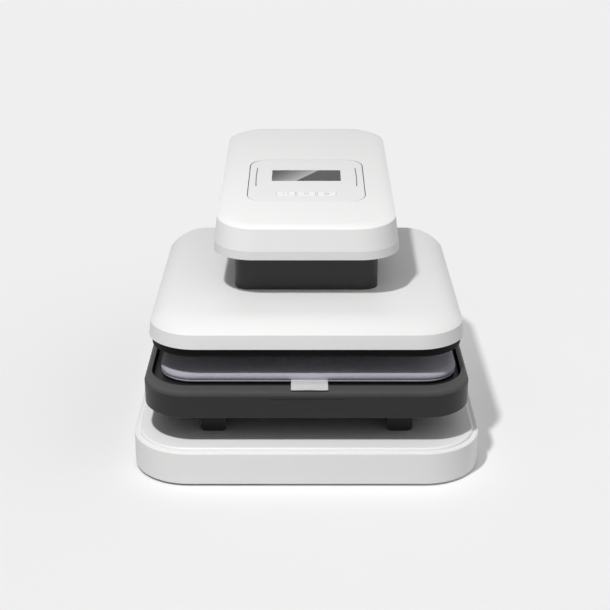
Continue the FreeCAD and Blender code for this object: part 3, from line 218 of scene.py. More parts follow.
class Pattern(NodeWork):
    """A geometry tree that repeats a shape on the points of a mesh, with named sizes."""

    kinds = {float: "NodeSocketFloat", int: "NodeSocketInt", tuple: "NodeSocketVector"}

    def __init__(self, name, **sizes):
        self.group = bpy.data.node_groups.new(name, "GeometryNodeTree")
        super().__init__(self.group)
        self.socket("Points", "INPUT", "NodeSocketGeometry")
        self.socket("Pattern", "OUTPUT", "NodeSocketGeometry")
        for key, value in sizes.items():
            self.socket(key.replace("_", " "), "INPUT", self.kinds[type(value)]).default_value = value
        self.socket("Material", "INPUT", "NodeSocketMaterial")
        self.given = self.add("NodeGroupInput")

    def socket(self, name, side, kind):
        return self.group.interface.new_socket(name, in_out=side, socket_type=kind)

    def size(self, name):
        return self.given.output(name)

    def vector(self, **parts):
        return self.add("ShaderNodeCombineXYZ", {}, parts)

    def moved(self, geometry, **how):
        return self.add("GeometryNodeTransform", {}, {"Geometry": geometry, **how})

    def carved(self, operation, *meshes, base=None):
        """The Boolean of closed meshes; a DIFFERENCE cuts them out of the base."""
        meshes = {"Mesh 2": list(meshes)}
        if base is not None:
            meshes["Mesh 1"] = base
        return self.add("GeometryNodeMeshBoolean", {"operation": operation, "solver": "MANIFOLD"}, meshes)

    def spun(self, rotation, axis, least, most):
        """The rotation, with a random turn about its own axis added at each point."""
        angle = self.add("FunctionNodeRandomValue", {"data_type": "FLOAT"},
                         {2: least, 3: most, "Seed": self.size("Seed")}, 1)
        turn = self.add("FunctionNodeAxisAngleToRotation", {}, {"Axis": axis, "Angle": angle})
        return self.add("FunctionNodeRotateRotation", {"rotation_space": "LOCAL"},
                        {"Rotation": rotation, "Rotate By": turn})

    def placed(self, points, shape, rotation, **more):
        return self.add("GeometryNodeInstanceOnPoints", {},
                        {"Points": points, "Instance": shape, "Rotation": rotation, **more})

    def finish(self, geometry):
        whole = self.add("GeometryNodeRealizeInstances", {}, {"Geometry": geometry})
        whole = self.add("GeometryNodeSetMaterial", {},
                         {"Geometry": whole, "Material": self.size("Material")})
        self.add("NodeGroupOutput", {}, {"Pattern": whole})

    def grow(self, points, material, **sizes):
        """The pattern on these points, as a plain mesh."""
        carrier = bpy.data.objects.new(points.name, points)
        bpy.context.scene.collection.objects.link(carrier)
        modifier = carrier.modifiers.new("pattern", "NODES")
        modifier.node_group = self.group
        values = {key.replace("_", " "): value for key, value in sizes.items()}
        values["Material"] = material
        for item in self.group.interface.items_tree:
            if item.name in values:
                modifier[item.identifier] = values[item.name]
        seen = carrier.evaluated_get(bpy.context.evaluated_depsgraph_get())
        mesh = bpy.data.meshes.new_from_object(seen)
        carrier.modifiers.remove(modifier)
        bpy.data.objects.remove(carrier)
        return mesh


# A crosshead screw: a domed head with a tapered cross sunk in it, and a plain
# shank. The dome and the taper are turned a little about the screw's axis, so
# that no edge of theirs meets one of the blank or the bars.
screws = Pattern("crosshead_screws", Head_Radius=0.003, Head_Height=0.002, Shank_Radius=0.0015,
                 Cross=0.6, Turned=(0.0, 0.0, 0.0), Seed=5)
head_r = screws.size("Head Radius")
head_h = screws.size("Head Height")
cross_r = head_r * screws.size("Cross")
blade = cross_r * 0.42
blank_h = head_h * 1.5
dome_r = head_r * 1.35
dome_turn = (0.0, 0.0, 0.041)
taper_h = head_h * 0.9
taper_turn = (0.0, 0.0, 0.055)
blank = screws.add("GeometryNodeMeshCylinder", {}, {"Vertices": 32, "Radius": head_r, "Depth": blank_h})
blank = screws.moved(blank, Translation=screws.vector(Z=blank_h / 2))
dome = screws.add("GeometryNodeMeshUVSphere", {}, {"Segments": 48, "Rings": 24, "Radius": dome_r})
dome = screws.moved(dome, Translation=screws.vector(Z=head_h - dome_r), Rotation=dome_turn)
head = screws.carved("INTERSECT", blank, dome)
bar = screws.vector(X=cross_r * 2, Y=blade, Z=head_h * 2)
bar = screws.add("GeometryNodeMeshCube", {}, {"Size": bar})
cross_bar = screws.vector(X=blade, Y=cross_r * 2, Z=head_h * 2.3)
cross_bar = screws.add("GeometryNodeMeshCube", {}, {"Size": cross_bar})
recess = screws.moved(screws.carved("UNION", bar, cross_bar), Translation=screws.vector(Z=head_h))
taper = screws.add(
    "GeometryNodeMeshCone", {},
    {"Vertices": 24, "Radius Top": cross_r * 1.1, "Radius Bottom": cross_r * 0.2, "Depth": taper_h})
taper = screws.moved(taper, Translation=screws.vector(Z=head_h * 0.28), Rotation=taper_turn)
recess = screws.carved("INTERSECT", recess, taper)
head = screws.carved("DIFFERENCE", recess, base=head)
turned = screws.add("FunctionNodeEulerToRotation", {}, {"Euler": screws.size("Turned")})
turned = screws.spun(turned, (0.0, 0.0, 1.0), 0.0, 2 * math.pi)
heads = screws.placed(screws.size("Points"), head, turned)
pin = screws.add("GeometryNodeMeshCylinder", {},
                 {"Vertices": 16, "Radius": screws.size("Shank Radius"), "Depth": 1.0})
pin = screws.moved(pin, Translation=(0.0, 0.0, -0.5))
reach = screws.add("GeometryNodeInputNamedAttribute", {"data_type": "FLOAT"}, {"Name": "shank"})
pins = screws.placed(screws.size("Points"), pin, turned, Scale=screws.vector(X=1.0, Y=1.0, Z=reach))
screws.finish(screws.add("GeometryNodeJoinGeometry", {}, {"Geometry": [heads, pins]}))


def islands(name):
    """The corners of each separate solid in a CAD node."""
    copy = bmesh.new()
    copy.from_mesh(nodes[name].data)
    bmesh.ops.remove_doubles(copy, verts=copy.verts[:], dist=0.000002)
    left = dict.fromkeys(copy.verts)
    found = []
    while left:
        reached = [left.popitem()[0]]
        for vert in reached:
            for edge in vert.link_edges:
                far = edge.other_vert(vert)
                if far in left:
                    del left[far]
                    reached.append(far)
        found.append([vert.co.copy() for vert in reached])
    copy.free()
    return found


def fit_screws(name, node, outward, turned, body, material):
    """Crosshead screws in the places and sizes of the CAD node's plain ones."""
    slack = 0.0002
    points = bpy.data.meshes.new(name)
    seats, reaches = [], []
    for corners in islands(node):
        low, high = (Vector([pick(c[k] for c in corners) for k in range(3)]) for pick in (min, max))
        centre = (low + high) / 2
        centre -= outward * centre.dot(outward)
        away = [(c - outward * c.dot(outward) - centre).length for c in corners]
        along = [c.dot(outward) for c in corners]
        rim_r = max(away)
        rim = [a for a, r in zip(along, away) if r > rim_r - slack]
        shank_r = max(r for a, r in zip(along, away) if a < min(rim) - slack)
        seats.append(centre + outward * min(rim))
        reaches.append(min(rim) - min(along))
    points.from_pydata(seats, [], [])
    points.attributes.new("shank", "FLOAT", "POINT").data.foreach_set("value", reaches)
    mesh = screws.grow(
        points, material,
        Head_Radius=rim_r, Head_Height=max(rim) - min(rim), Shank_Radius=shank_r, Turned=turned)
    piece = new_piece(name, mesh, material, body, crease=35.0)
    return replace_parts(piece, node)


zinc_sheet = sheet_metal("zinc_sheet", (0.62, 0.63, 0.64), (0.5, 0.51, 0.52), 0.42)
dress(zinc_sheet, "base_plate")
dress(rubber("foot_rubber", (0.035, 0.035, 0.036), (0.06, 0.06, 0.06)), "base_feet")
screw_steel = sheet_metal("screw_steel", (0.56, 0.56, 0.57), (0.46, 0.46, 0.47), 0.34, spangle=900.0)
down = Vector((0, 0, -1))
back = Vector((0, 1, 0))
fit_screws("base_plate_screws", "base_screws", down, (math.pi, 0.0, 0.0), "frame", screw_steel)


# The chassis, rail brackets and slides: folded zinc-plated steel ties the two
# drawer slides to the column. The ball-bearing slides are rolled from strip,
# their ball cages pressed from thin steel.
dress(zinc_sheet, "base_chassis", "rail_brackets", "column_frame", "head_frame", "carrier_plate")
slide_steel = sheet_metal("slide_steel", (0.68, 0.69, 0.7), (0.58, 0.59, 0.6), 0.3,
                          along=(1.0, 0.03, 1.0), spangle=25.0)
dress(slide_steel, "slide_fixed_members", "slide_middle_members", "slide_tray_members")
ball_steel = sheet_metal("ball_steel", (0.8, 0.8, 0.82), (0.72, 0.72, 0.74), 0.18, spangle=700.0)
dress(ball_steel, "ball_cages_inner", "ball_cages_outer")
dress(screw_steel, "rail_screws", "frame_bolts")


# The pull-out tray: black plastic, moulded in one piece with a bevelled rim
# and a finger recess under its front. Two channel covers hide the slides.
tray_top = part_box("tray")[1].z
# how far down from the rim's top the painted highlight reaches, and where it is full
rim_light_depth = 0.0030
rim_light_full = 0.0001


def tray_finish(name):
    """Black moulded plastic, the top of its rim painted lighter in broken patches, a painted highlight;
    lower down it is plain black.
    """
    finish = Finish(name)
    place = finish.place()
    flow = finish.speckle(place, 5.0, 3.0)
    pebble = finish.speckle(place, 800.0)
    mottle = finish.speckle(place, 60.0, 6.0)
    height = finish.add("ShaderNodeSeparateXYZ", {}, {0: place}, "Z")
    # painted highlight: the top few millimetres of the rim are coloured lighter, and a little rougher
    painted_rim_light = finish.add(
        "ShaderNodeMapRange", {},
        {"Value": height, "From Min": tray_top - rim_light_depth, "From Max": tray_top - rim_light_full})
    clean = finish.mix(flow * 0.7 + pebble * 0.3, (0.014, 0.0133, 0.0136), (0.018, 0.0172, 0.0175))
    return finish.surface(
        height=pebble, depth=0.0001,
        Base_Color=finish.mix(painted_rim_light * (0.75 + 0.5 * mottle), clean, (0.074, 0.073, 0.075)),
        Roughness=0.4 + painted_rim_light * 0.15 + mottle * 0.08,
        Specular_IOR_Level=0.35)


dress(tray_finish("tray_plastic"), "tray")
runner_plastic = moulded_plastic("runner_plastic", (0.012, 0.012, 0.013), (0.009, 0.009, 0.01), 0.5,
                                 grain=800.0, depth=0.0001, gloss=0.3)
dress(runner_plastic, "runner_covers")
dress(zinc_sheet, "tray_plate")
dress(screw_steel, "tray_screws")


# The press cushion: a silicone sponge mat in a fitted cover of lilac-grey
# cloth, its top drawn over the rolled edge down to a seam near the bottom. It
# is glued to the steel sheet in the tray.
pad_low, pad_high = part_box("press_pad")
pad_corner = 0.046
pad_seam = 0.0040
pad_crown = 0.0012
thread_pitch = 0.0007
thread_out = 0.0003
pucker_pitch = 0.0125
pucker_reach = 0.0022
pucker_draw = 0.0004
side_slack = 0.0003
top_slack = 0.0003
fold_drop = 0.0006
fold_reach = 0.05
ring_step = 0.010
innermost = 0.012
# how far in from the outline the cloth lies, and how high, from its bottom edge up
pad_profile = [(0.0042, 0.0000), (0.0018, 0.0006), (0.0007, 0.0015), (0.0003, 0.0026),
               (0.0006, 0.0035), (0.0014, 0.0040), (0.0006, 0.0045), (0.0001, 0.0055),
               (0.0000, 0.0070), (0.0003, 0.0086), (0.0011, 0.0101), (0.0023, 0.0112),
               (0.0040, 0.0120), (0.0064, 0.0126), (0.0098, 0.0128)]


def rounded_ring(low, high, corner, inset, turns=18, step=0.005):
    """(point, outward direction) all round a rounded rectangle, the same count at any inset."""
    runs = [max(2, round((high[k] - low[k] - 2 * corner) / step)) for k in (0, 1)]
    reach = [(high[k] - low[k]) / 2 - inset for k in (0, 1)]
    middle = [(high[k] + low[k]) / 2 for k in (0, 1)]
    radius = min(max(corner - inset, 0.25 * corner), reach[0] - 0.001, reach[1] - 0.001)
    ring = []
    for quarter, (sx, sy) in enumerate(((1, 1), (-1, 1), (-1, -1), (1, -1))):
        cx, cy = middle[0] + sx * (reach[0] - radius), middle[1] + sy * (reach[1] - radius)
        for i in range(turns + 1):
            a = math.radians(90 * (quarter + i / turns))
            n = Vector((math.cos(a), math.sin(a)))
            ring.append((Vector((cx, cy)) + radius * n, n))
        run = runs[quarter % 2]
        start, along = ring[-1][0], Vector((-n.y, n.x)) * 2 * (reach[quarter % 2] - radius)
        ring += [(start + along * k / run, n) for k in range(1, run)]
    return ring


def woven_cloth(name, colour, shade, pitch, sheen):
    """Plain weave on the piece's own UV map, with slubs in the yarn and a soft pile of wear."""
    finish = Finish(name)
    across = finish.add("ShaderNodeUVMap", {"uv_map": "cloth"})
    warp = finish.add("ShaderNodeSeparateXYZ", {}, {0: across}, "X")
    weft = warp.output("Y")
    ends = (warp * (math.pi / pitch)).of("SINE")
    picks = (weft * (math.pi / pitch)).of("SINE")
    over = (ends * picks).of("GREATER_THAN", 0.0)
    yarn = ends.of("ABSOLUTE") * over + picks.of("ABSOLUTE") * (1.0 - over)
    long_way = finish.add("ShaderNodeMapping", {}, {"Vector": across, "Scale": (1.0, 0.12, 1.0)})
    slub = finish.speckle(long_way, 420.0, 3.0)
    worn = finish.speckle(across, 22.0, 4.0)
    return finish.surface(
        height=yarn + slub * 0.5, depth=0.00022,
        Base_Color=finish.mix(yarn * 0.45 + slub * 0.35 + worn * 0.2, shade, colour),
        Roughness=0.78 + worn * 0.14,
        Sheen_Weight=sheen, Sheen_Roughness=0.5)


pad_cloth = woven_cloth("pad_cloth", (0.63, 0.61, 0.70), (0.48, 0.465, 0.54), thread_pitch, 0.25)
pad_centre = (pad_low + pad_high) / 2
pad_half = min(pad_high.x - pad_low.x, pad_high.y - pad_low.y) / 2
rings = [(inset, height, True) for inset, height in pad_profile]
edge_inset, edge_height = pad_profile[-1]
inset = edge_inset
while inset < pad_half - innermost:
    inset += min(ring_step, 0.003 + inset * 0.12)
    crown = pad_crown * math.sin(min(1.0, inset / (pad_half * 0.9)) * math.pi / 2)
    rings.append((inset, edge_height + crown, False))


def cloth_spot(point, n, way, inset, height, side, lowest):
    """Where the cloth lies: drawn in at the seam, folded at the corners, slack elsewhere."""
    near_seam = math.exp(-(((height - pad_seam) / pucker_reach) ** 2)) if side else 0.0
    pucker = 0.5 + 0.5 * math.sin(way * 2 * math.pi / pucker_pitch + 2.0 * noise.noise((way * 30, 0, 0)))
    drift = noise.noise(Vector((point.x * 14, point.y * 14, height * 40)))
    slack = side_slack * min(drift, 0.0) if side and not lowest else 0.0
    out = slack - pucker_draw * near_seam * pucker
    lift = 0.0 if side else top_slack * noise.noise(Vector((point.x * 9, point.y * 9, 3.1)))
    if height > pad_seam + 0.001:
        corner = abs(n.x * n.y) * 2
        lift -= fold_drop * corner * max(0.0, 1 - inset / fold_reach) * (0.6 + 0.4 * pucker)
    spot = point + n * out
    return spot.x, spot.y, pad_low.z + height + lift


cushion = bmesh.new()
cloth = cushion.loops.layers.uv.new("cloth")
flat_place = {}
loops = []
seam_line = []
outline = rounded_ring(pad_low, pad_high, pad_corner, 0.0)
arc = 0.0
for index, (inset, height, side) in enumerate(rings):
    ring = rounded_ring(pad_low, pad_high, pad_corner, inset)
    loop = []
    way = 0.0
    for k, (point, n) in enumerate(ring):
        way += (point - ring[k - 1][0]).length if k else 0.0
        vert = cushion.verts.new(cloth_spot(point, n, way, inset, height, side, index == 0))
        flat_place[vert] = outline[k][0] + n * arc if side else point
        loop.append(vert)
        if height == pad_seam:
            seam_line.append(vert.co + Vector((n.x, n.y, 0.0)) * thread_out)
    if side and index + 1 < len(pad_profile):
        arc -= (Vector(pad_profile[index + 1]) - Vector(pad_profile[index])).length
    loops.append(loop)
for lower, upper in zip(loops, loops[1:]):
    for k in range(len(lower)):
        j = (k + 1) % len(lower)
        cushion.faces.new((lower[k], lower[j], upper[j], upper[k]))
top = cushion.verts.new((pad_centre.x, pad_centre.y, pad_low.z + rings[-1][1]))
flat_place[top] = pad_centre.xy
for k in range(len(loops[-1])):
    cushion.faces.new((loops[-1][k], loops[-1][(k + 1) % len(loops[-1])], top))
cushion.faces.new(list(reversed(loops[0])))
for face in cushion.faces:
    for corner in face.loops:
        corner[cloth].uv = flat_place[corner.vert]
bmesh.ops.recalc_face_normals(cushion, faces=cushion.faces[:])
cushion = new_piece("press_cushion", cushion, pad_cloth, "drawer")
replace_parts(cushion, "press_pad")

# the seam's lockstitch: short spindles of thread, evenly spaced along the seam line
stitches = Pattern("seam_stitches", Pitch=0.0042, Stitch=0.0033, Thread=0.0004, Seed=8)
path = stitches.add("GeometryNodeMeshToCurve", {}, {"Mesh": stitches.size("Points")})
path = stitches.add("GeometryNodeResampleCurve", {"mode": "LENGTH"},
                    {"Curve": path, "Length": stitches.size("Pitch")})
spindle = stitches.add("GeometryNodeMeshUVSphere", {}, {"Segments": 6, "Rings": 5, "Radius": 0.5})
thread = stitches.size("Thread") * 2
spindle = stitches.moved(spindle, Scale=stitches.vector(X=stitches.size("Stitch"), Y=thread, Z=thread))
lie = stitches.add("FunctionNodeAlignRotationToVector", {"axis": "X"},
                   {"Vector": stitches.add("GeometryNodeInputTangent")})
lie = stitches.spun(lie, (0.0, 1.0, 0.0), -0.07, 0.02)
stitches.finish(stitches.placed(path, spindle, lie))
seam = bpy.data.meshes.new("seam_line")
seam.from_pydata(seam_line, [(k, (k + 1) % len(seam_line)) for k in range(len(seam_line))], [])


def thread_finish(name, colour, shade):
    """Spun sewing thread: fine twisted plies, lighter where they stand up."""
    finish = Finish(name)
    ply = finish.speckle(finish.place(), 2600.0)
    return finish.surface(
        height=ply, depth=0.0001,
        Base_Color=finish.mix(ply, shade, colour),
        Roughness=0.6 + ply * 0.2, Sheen_Weight=0.2)


pad_thread = thread_finish("pad_thread", (0.34, 0.33, 0.38), (0.22, 0.21, 0.25))
stitching = new_piece("cushion_stitches", stitches.grow(seam, pad_thread), pad_thread, "drawer")


# The cushion's tag: a length of plain white woven tape, sewn into the seam. It
# bridges the gap to the tray's front rim and lies over it, its free end a
# little lifted.
tag_low, tag_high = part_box("pad_tag")
rim_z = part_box("tray")[1].z
rim_y = tag_low.y + 0.0206
seam_z = pad_low.z + pad_seam
tag_tape = 0.0005
tag_wave = 0.0003
# (toward the rear, height), from the seam to the free end
tag_path = [Vector(spot) for spot in (
    (tag_high.y + 0.0016, seam_z), (tag_high.y - 0.0020, seam_z + 0.0004),
    (tag_high.y - 0.0100, seam_z + 0.0014), (rim_y + 0.0080, rim_z - 0.0006),
    (rim_y + 0.0012, rim_z + 0.0005), (rim_y - 0.0030, rim_z + 0.0005),
    (rim_y - 0.0130, rim_z + 0.0004), (tag_low.y + 0.0014, rim_z + 0.0022))]
tag_cloth = woven_cloth("tag_tape", (0.93, 0.93, 0.94), (0.84, 0.84, 0.86), 0.0005, 0.1)
tag = bmesh.new()
cloth = tag.loops.layers.uv.new("cloth")
columns = 24
rows = 40
grid = []
lengths = [0.0]
for a, b in zip(tag_path, tag_path[1:]):
    lengths.append(lengths[-1] + (b - a).length)
tag_length = lengths[-1]
for row in range(rows + 1):
    at = tag_length * row / rows
    k = max(i for i in range(len(lengths) - 1) if lengths[i] <= at + 1e-9)
    spot = tag_path[k].lerp(tag_path[k + 1], (at - lengths[k]) / (lengths[k + 1] - lengths[k]))
    line = []
    for column in range(columns + 1):
        x = tag_low.x + (tag_high.x - tag_low.x) * column / columns
        wave = tag_wave * (row / rows) * (0.5 + 0.5 * math.sin(x * 190 + 0.8))
        line.append(tag.verts.new((x, spot.x, spot.y + wave)))
    grid.append(line)
for row in range(rows):
    for column in range(columns):
        face = tag.faces.new((grid[row][column], grid[row + 1][column],
                              grid[row + 1][column + 1], grid[row][column + 1]))
        for corner, (r, c) in zip(face.loops, ((0, 0), (1, 0), (1, 1), (0, 1))):
            corner[cloth].uv = ((tag_high.x - tag_low.x) * (column + c) / columns,
                                tag_length * (row + r) / rows)
tag_piece = new_piece("tag", tag, tag_cloth, "drawer")
thick = tag_piece.modifiers.new("tape", "SOLIDIFY")
thick.thickness = tag_tape
thick.offset = 0.0
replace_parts(tag_piece, "pad_tag")


# The heat plate: machined aluminium with a coated face, a tubular element
# clamped in its back, needled glass-fibre felt over it, and standoffs up to a
# steel carrier.
plate_metal = sheet_metal("plate_aluminium", (0.64, 0.64, 0.64), (0.55, 0.55, 0.55), 0.34,
                          along=(0.03, 1.0, 1.0))
dress(plate_metal, "heat_plate")
element_steel = sheet_metal("element_steel", (0.5, 0.47, 0.42), (0.36, 0.33, 0.3), 0.4)
dress(element_steel, "heating_element", "heat_sensors")


def felt(name, colour, shade):
    """Needled glass fibre: matted strands with a soft broken surface."""
    finish = Finish(name)
    place = finish.place()
    strand = finish.speckle(place, 260.0, 6.0, Distortion=1.6)
    tuft = finish.speckle(place, 40.0, 3.0)
    return finish.surface(
        height=strand + tuft, depth=0.0008,
        Base_Color=finish.mix(strand * 0.6 + tuft * 0.4, shade, colour),
        Roughness=0.85 + tuft * 0.1, Sheen_Weight=0.2)


dress(felt("glass_felt", (0.8, 0.77, 0.68), (0.66, 0.62, 0.52)), "heat_blanket")
bright_steel = sheet_metal("bright_steel", (0.72, 0.72, 0.73), (0.64, 0.64, 0.65), 0.2,
                           along=(1.0, 1.0, 0.05), spangle=15.0)
dress(bright_steel, "standoffs", "guide_rods", "lead_screw", "screw_bearings")
bronze = sheet_metal("bronze", (0.72, 0.5, 0.24), (0.6, 0.4, 0.18), 0.3, spangle=200.0)
dress(bronze, "lift_nut", "guide_bushings")


# The plate cover: a white moulded casing, its walls drawn in a little upward to
# a crisp edge under a gently domed plain roof, on a black heat-proof ring that
# shades the cushion. Machine screws join the press head's parts.
cover_plastic = moulded_plastic("cover_white_plastic", (0.86, 0.86, 0.855), (0.845, 0.845, 0.84), 0.42)
dress(cover_plastic, "plate_cover")
skirt_plastic = moulded_plastic("skirt_black", (0.006, 0.006, 0.0065), (0.004, 0.004, 0.0045), 0.6,
                                grain=900.0, depth=0.0001, gloss=0.12)
dress(skirt_plastic, "plate_skirt")
dress(screw_steel, "press_screws")


# The neck cover: a dark moulded sleeve screwed to the casing. It slides up
# into the head and hides the lead screw and the two guide rods.
neck_plastic = moulded_plastic("neck_plastic", (0.03, 0.03, 0.03), (0.025, 0.025, 0.025), 0.46,
                               grain=900.0, depth=0.00008, gloss=0.35)
dress(neck_plastic, "neck_cover")


# The column: a white cover and a rear door over the steel column. The door
# carries a power inlet and a rocker switch, and four crosshead screws hold it.
column_plastic = moulded_plastic("column_white_plastic", (0.92, 0.92, 0.915), (0.9, 0.9, 0.895), 0.42)
dress(column_plastic, "column_cover", "rear_panel")
fit_screws("rear_door_screws", "rear_screws", back, (-math.pi / 2, 0.0, 0.0), "frame", screw_steel)
black_plastic = moulded_plastic("black_plastic", (0.022, 0.022, 0.023), (0.016, 0.016, 0.017), 0.38,
                                grain=1500.0, depth=0.00004, gloss=0.4)
dress(black_plastic, "power_inlet", "switch_housing", "rocker")


# The arm and the lift drive: a steel arm bolted to the column carries the
# bearing housing and the gear motor. A pinion turns the acetal gear on the
# lead screw.
cast_metal = sheet_metal("cast_housing", (0.52, 0.53, 0.54), (0.42, 0.43, 0.44), 0.5, spangle=400.0)
dress(cast_metal, "bearing_housing")
motor_can = sheet_metal("motor_can", (0.2, 0.21, 0.22), (0.14, 0.15, 0.16), 0.36, along=(1.0, 1.0, 0.05))
dress(motor_can, "gear_motor")
gear_plastic = moulded_plastic("gear_acetal", (0.82, 0.82, 0.78), (0.74, 0.74, 0.7), 0.36)
dress(gear_plastic, "screw_gear")
dress(bright_steel, "motor_pinion")
dress(screw_steel, "drive_screws")


# The head: a white moulded top shell that rises gently to the rear, with a crisp
# edge and a front wall that leans out to the seam. A light grey cover closes it
# from below, held by crosshead screws.
panel_low, panel_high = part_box("control_panel")
slope = math.radians(4.2)
rise = Vector((0, math.cos(slope), math.sin(slope)))
up = Vector((0, -math.sin(slope), math.cos(slope)))
panel_top = max(vert.co.dot(up) for vert in nodes["control_panel"].data.vertices)


def panel_groove(finish, place):
    """1 down in the groove at the panel's two sides, where its walls get a painted shade; 0 on the open
    shell.
    """
    margin = 0.002
    sunk_by = 0.0003
    # how far in from the panel's sides the painted shade starts, and where it is whole
    shade_from = 0.018
    shade_whole = 0.006
    x = finish.add("ShaderNodeSeparateXYZ", {}, {0: place}, "X")
    y = x.output("Y")
    side = x.of("ABSOLUTE")
    sunk = (y * up.y + x.output("Z") * up.z).of("LESS_THAN", panel_top - sunk_by)
    inside = side.of("LESS_THAN", panel_high.x + margin)
    inside = inside * y.of("GREATER_THAN", panel_low.y - margin)
    inside = inside * y.of("LESS_THAN", panel_high.y + margin)
    near = finish.add(
        "ShaderNodeMapRange", {},
        {"Value": side, "From Min": panel_high.x - shade_from, "From Max": panel_high.x - shade_whole})
    return sunk * inside * near


# the shell's walls in the panel groove are coloured darker: painted shade
head_plastic = moulded_plastic("head_white_plastic", (0.89, 0.89, 0.885), (0.87, 0.87, 0.865), 0.42,
                               gloss=0.4, painted_shade=panel_groove)
dress(head_plastic, "head_top_shell")
under_plastic = moulded_plastic("head_under_plastic", (0.76, 0.76, 0.76), (0.73, 0.73, 0.73), 0.42)
dress(under_plastic, "head_bottom_cover")
fit_screws("head_cover_screws", "head_screws", down, (math.pi, 0.0, 0.0), "frame", screw_steel)


# The control panel: a smooth panel let into the slope of the head, with a
# smoked window over the display and a thin light guide at each side.
panel_plastic = moulded_plastic("panel_plastic", (0.85, 0.85, 0.855), (0.83, 0.83, 0.835), 0.33,
                                grain=2200.0, depth=0.00002)
dress(panel_plastic, "control_panel")
slit_plastic = moulded_plastic("slit_dark", (0.08, 0.08, 0.083), (0.06, 0.06, 0.063), 0.25, gloss=0.3)
dress(slit_plastic, "light_slits")
window_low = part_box("display_window")[0]
# where the painted reflection on the window stops, how it leans and how it fades
glare_foot = 0.0345
glare_lean = 0.735
glare_fade = 0.060


def smoked_glass(name):
    """Smoked acrylic with a painted reflection: paler over the upper left, up to a line across it, as a
    glare.
    """
    finish = Finish(name)
    place = finish.place()
    x = finish.add("ShaderNodeSeparateXYZ", {}, {0: place}, "X")
    grime = finish.speckle(place, 90.0, 4.0)
    side = (x - (window_low.x + glare_foot)) - (x.output("Y") - window_low.y) * glare_lean
    # painted reflection: the glass is coloured paler left of the line, fading off away from it
    painted_glare = side.of("LESS_THAN", 0.0)
    fade = finish.add("ShaderNodeClamp", {}, {"Value": side / glare_fade + 1.0})
    return finish.surface(
        height=grime, depth=0.000004,
        Base_Color=finish.mix(painted_glare * fade.of("POWER", 1.5), (0.006, 0.006, 0.007), (0.42, 0.42, 0.43)),
        Roughness=0.09 + grime * 0.06,
        Specular_IOR_Level=0.3)


dress(smoked_glass("window_smoked"), "display_window")
dress(black_plastic, "display_module")


# The keys: three moulded caps in one strip in front of the window, each with a
# small grey or dark symbol printed on its top.
key_plastic = moulded_plastic("key_plastic", (0.93, 0.93, 0.935), (0.915, 0.915, 0.92), 0.36,
                              grain=2200.0, depth=0.00002)
dress(key_plastic, "key_left", "key_middle", "key_right")
symbol_grey = moulded_plastic("symbol_ink", (0.34, 0.34, 0.35), (0.28, 0.28, 0.29), 0.5,
                              grain=3000.0, depth=0.00001)
symbol_dark = moulded_plastic("symbol_ink_dark", (0.05, 0.05, 0.055), (0.04, 0.04, 0.045), 0.5,
                              grain=3000.0, depth=0.00001)
ink_t = 0.00004
ink_lift = 0.00001
cap_slack = 0.00005


def ring_of(mesh, centre, inner, outer, start, end):
    """A printed ring, or a part of one."""
    turns = 28
    rows = []
    for k in range(turns + 1):
        a = math.radians(start + (end - start) * k / turns)
        way = Vector((math.cos(a), math.sin(a)))
        rows.append([(centre + way * r, z) for r in (inner, outer) for z in (0.0, ink_t)])
    strip(mesh, rows)


def bar_of(mesh, a, b, width):
    """A printed stroke from a to b."""
    side = Vector((a.y - b.y, b.x - a.x)).normalized() * width / 2
    strip(mesh, [[(p + side * s, z) for s in (1, -1) for z in (0.0, ink_t)] for p in (a, b)])


def strip(mesh, rows):
    """A closed low strip through rows of four points: inner low, inner high, outer low, outer high."""
    made = [[mesh.verts.new((p.x, p.y, z)) for p, z in row] for row in rows]
    for one, two in zip(made, made[1:]):
        for i, j in ((0, 1), (1, 3), (3, 2), (2, 0)):
            mesh.faces.new((one[i], one[j], two[j], two[i]))
    mesh.faces.new([made[0][i] for i in (0, 2, 3, 1)])
    mesh.faces.new([made[-1][i] for i in (1, 3, 2, 0)])


def print_symbol(name, node, body, material, draw):
    """Ink on the top of a key, drawn flat about its centre and then laid on its slope."""
    corners = [vert.co for vert in nodes[node].data.vertices]
    cap_level = max(corner.dot(up) for corner in corners)
    cap = [corner for corner in corners if corner.dot(up) > cap_level - cap_slack]
    centre = sum(cap, Vector()) / len(cap)
    centre += up * (cap_level - centre.dot(up) + ink_lift)
    mesh = bmesh.new()
    draw(mesh)
    for vert in mesh.verts:
        flat = vert.co.copy()
        vert.co = centre + Vector((flat.x, 0, 0)) + rise * flat.y + up * flat.z
    bmesh.ops.recalc_face_normals(mesh, faces=mesh.faces[:])
    return new_piece(name, mesh, material, body, crease=30.0)


def draw_power(mesh):
    ring_of(mesh, Vector((0, 0)), inner=0.0027, outer=0.0034, start=125, end=415)
    bar_of(mesh, Vector((0, 0.0010)), Vector((0, 0.0042)), width=0.0007)


def draw_plus_minus(mesh):
    near = 0.0010
    far = 0.0048
    middle = (near + far) / 2
    for a, b in (((-far, 0), (-near, 0)), ((near, 0), (far, 0)),
                 ((middle, 0.0004), (middle, 0.0019)), ((middle, -0.0019), (middle, -0.0004))):
        bar_of(mesh, Vector(a), Vector(b), width=0.0008)


def draw_clock(mesh):
    ring_of(mesh, Vector((0, 0)), inner=0.0030, outer=0.0037, start=0, end=359.9)
    bar_of(mesh, Vector((0, 0)), Vector((0, 0.0022)), width=0.0006)
    bar_of(mesh, Vector((0.0003, 0)), Vector((0.0018, 0)), width=0.0006)


print_symbol("symbol_level", "key_left", "left_key", symbol_grey, draw_plus_minus)
print_symbol("symbol_clock", "key_middle", "middle_key", symbol_grey, draw_clock)
print_symbol("symbol_power", "key_right", "right_key", symbol_dark, draw_power)


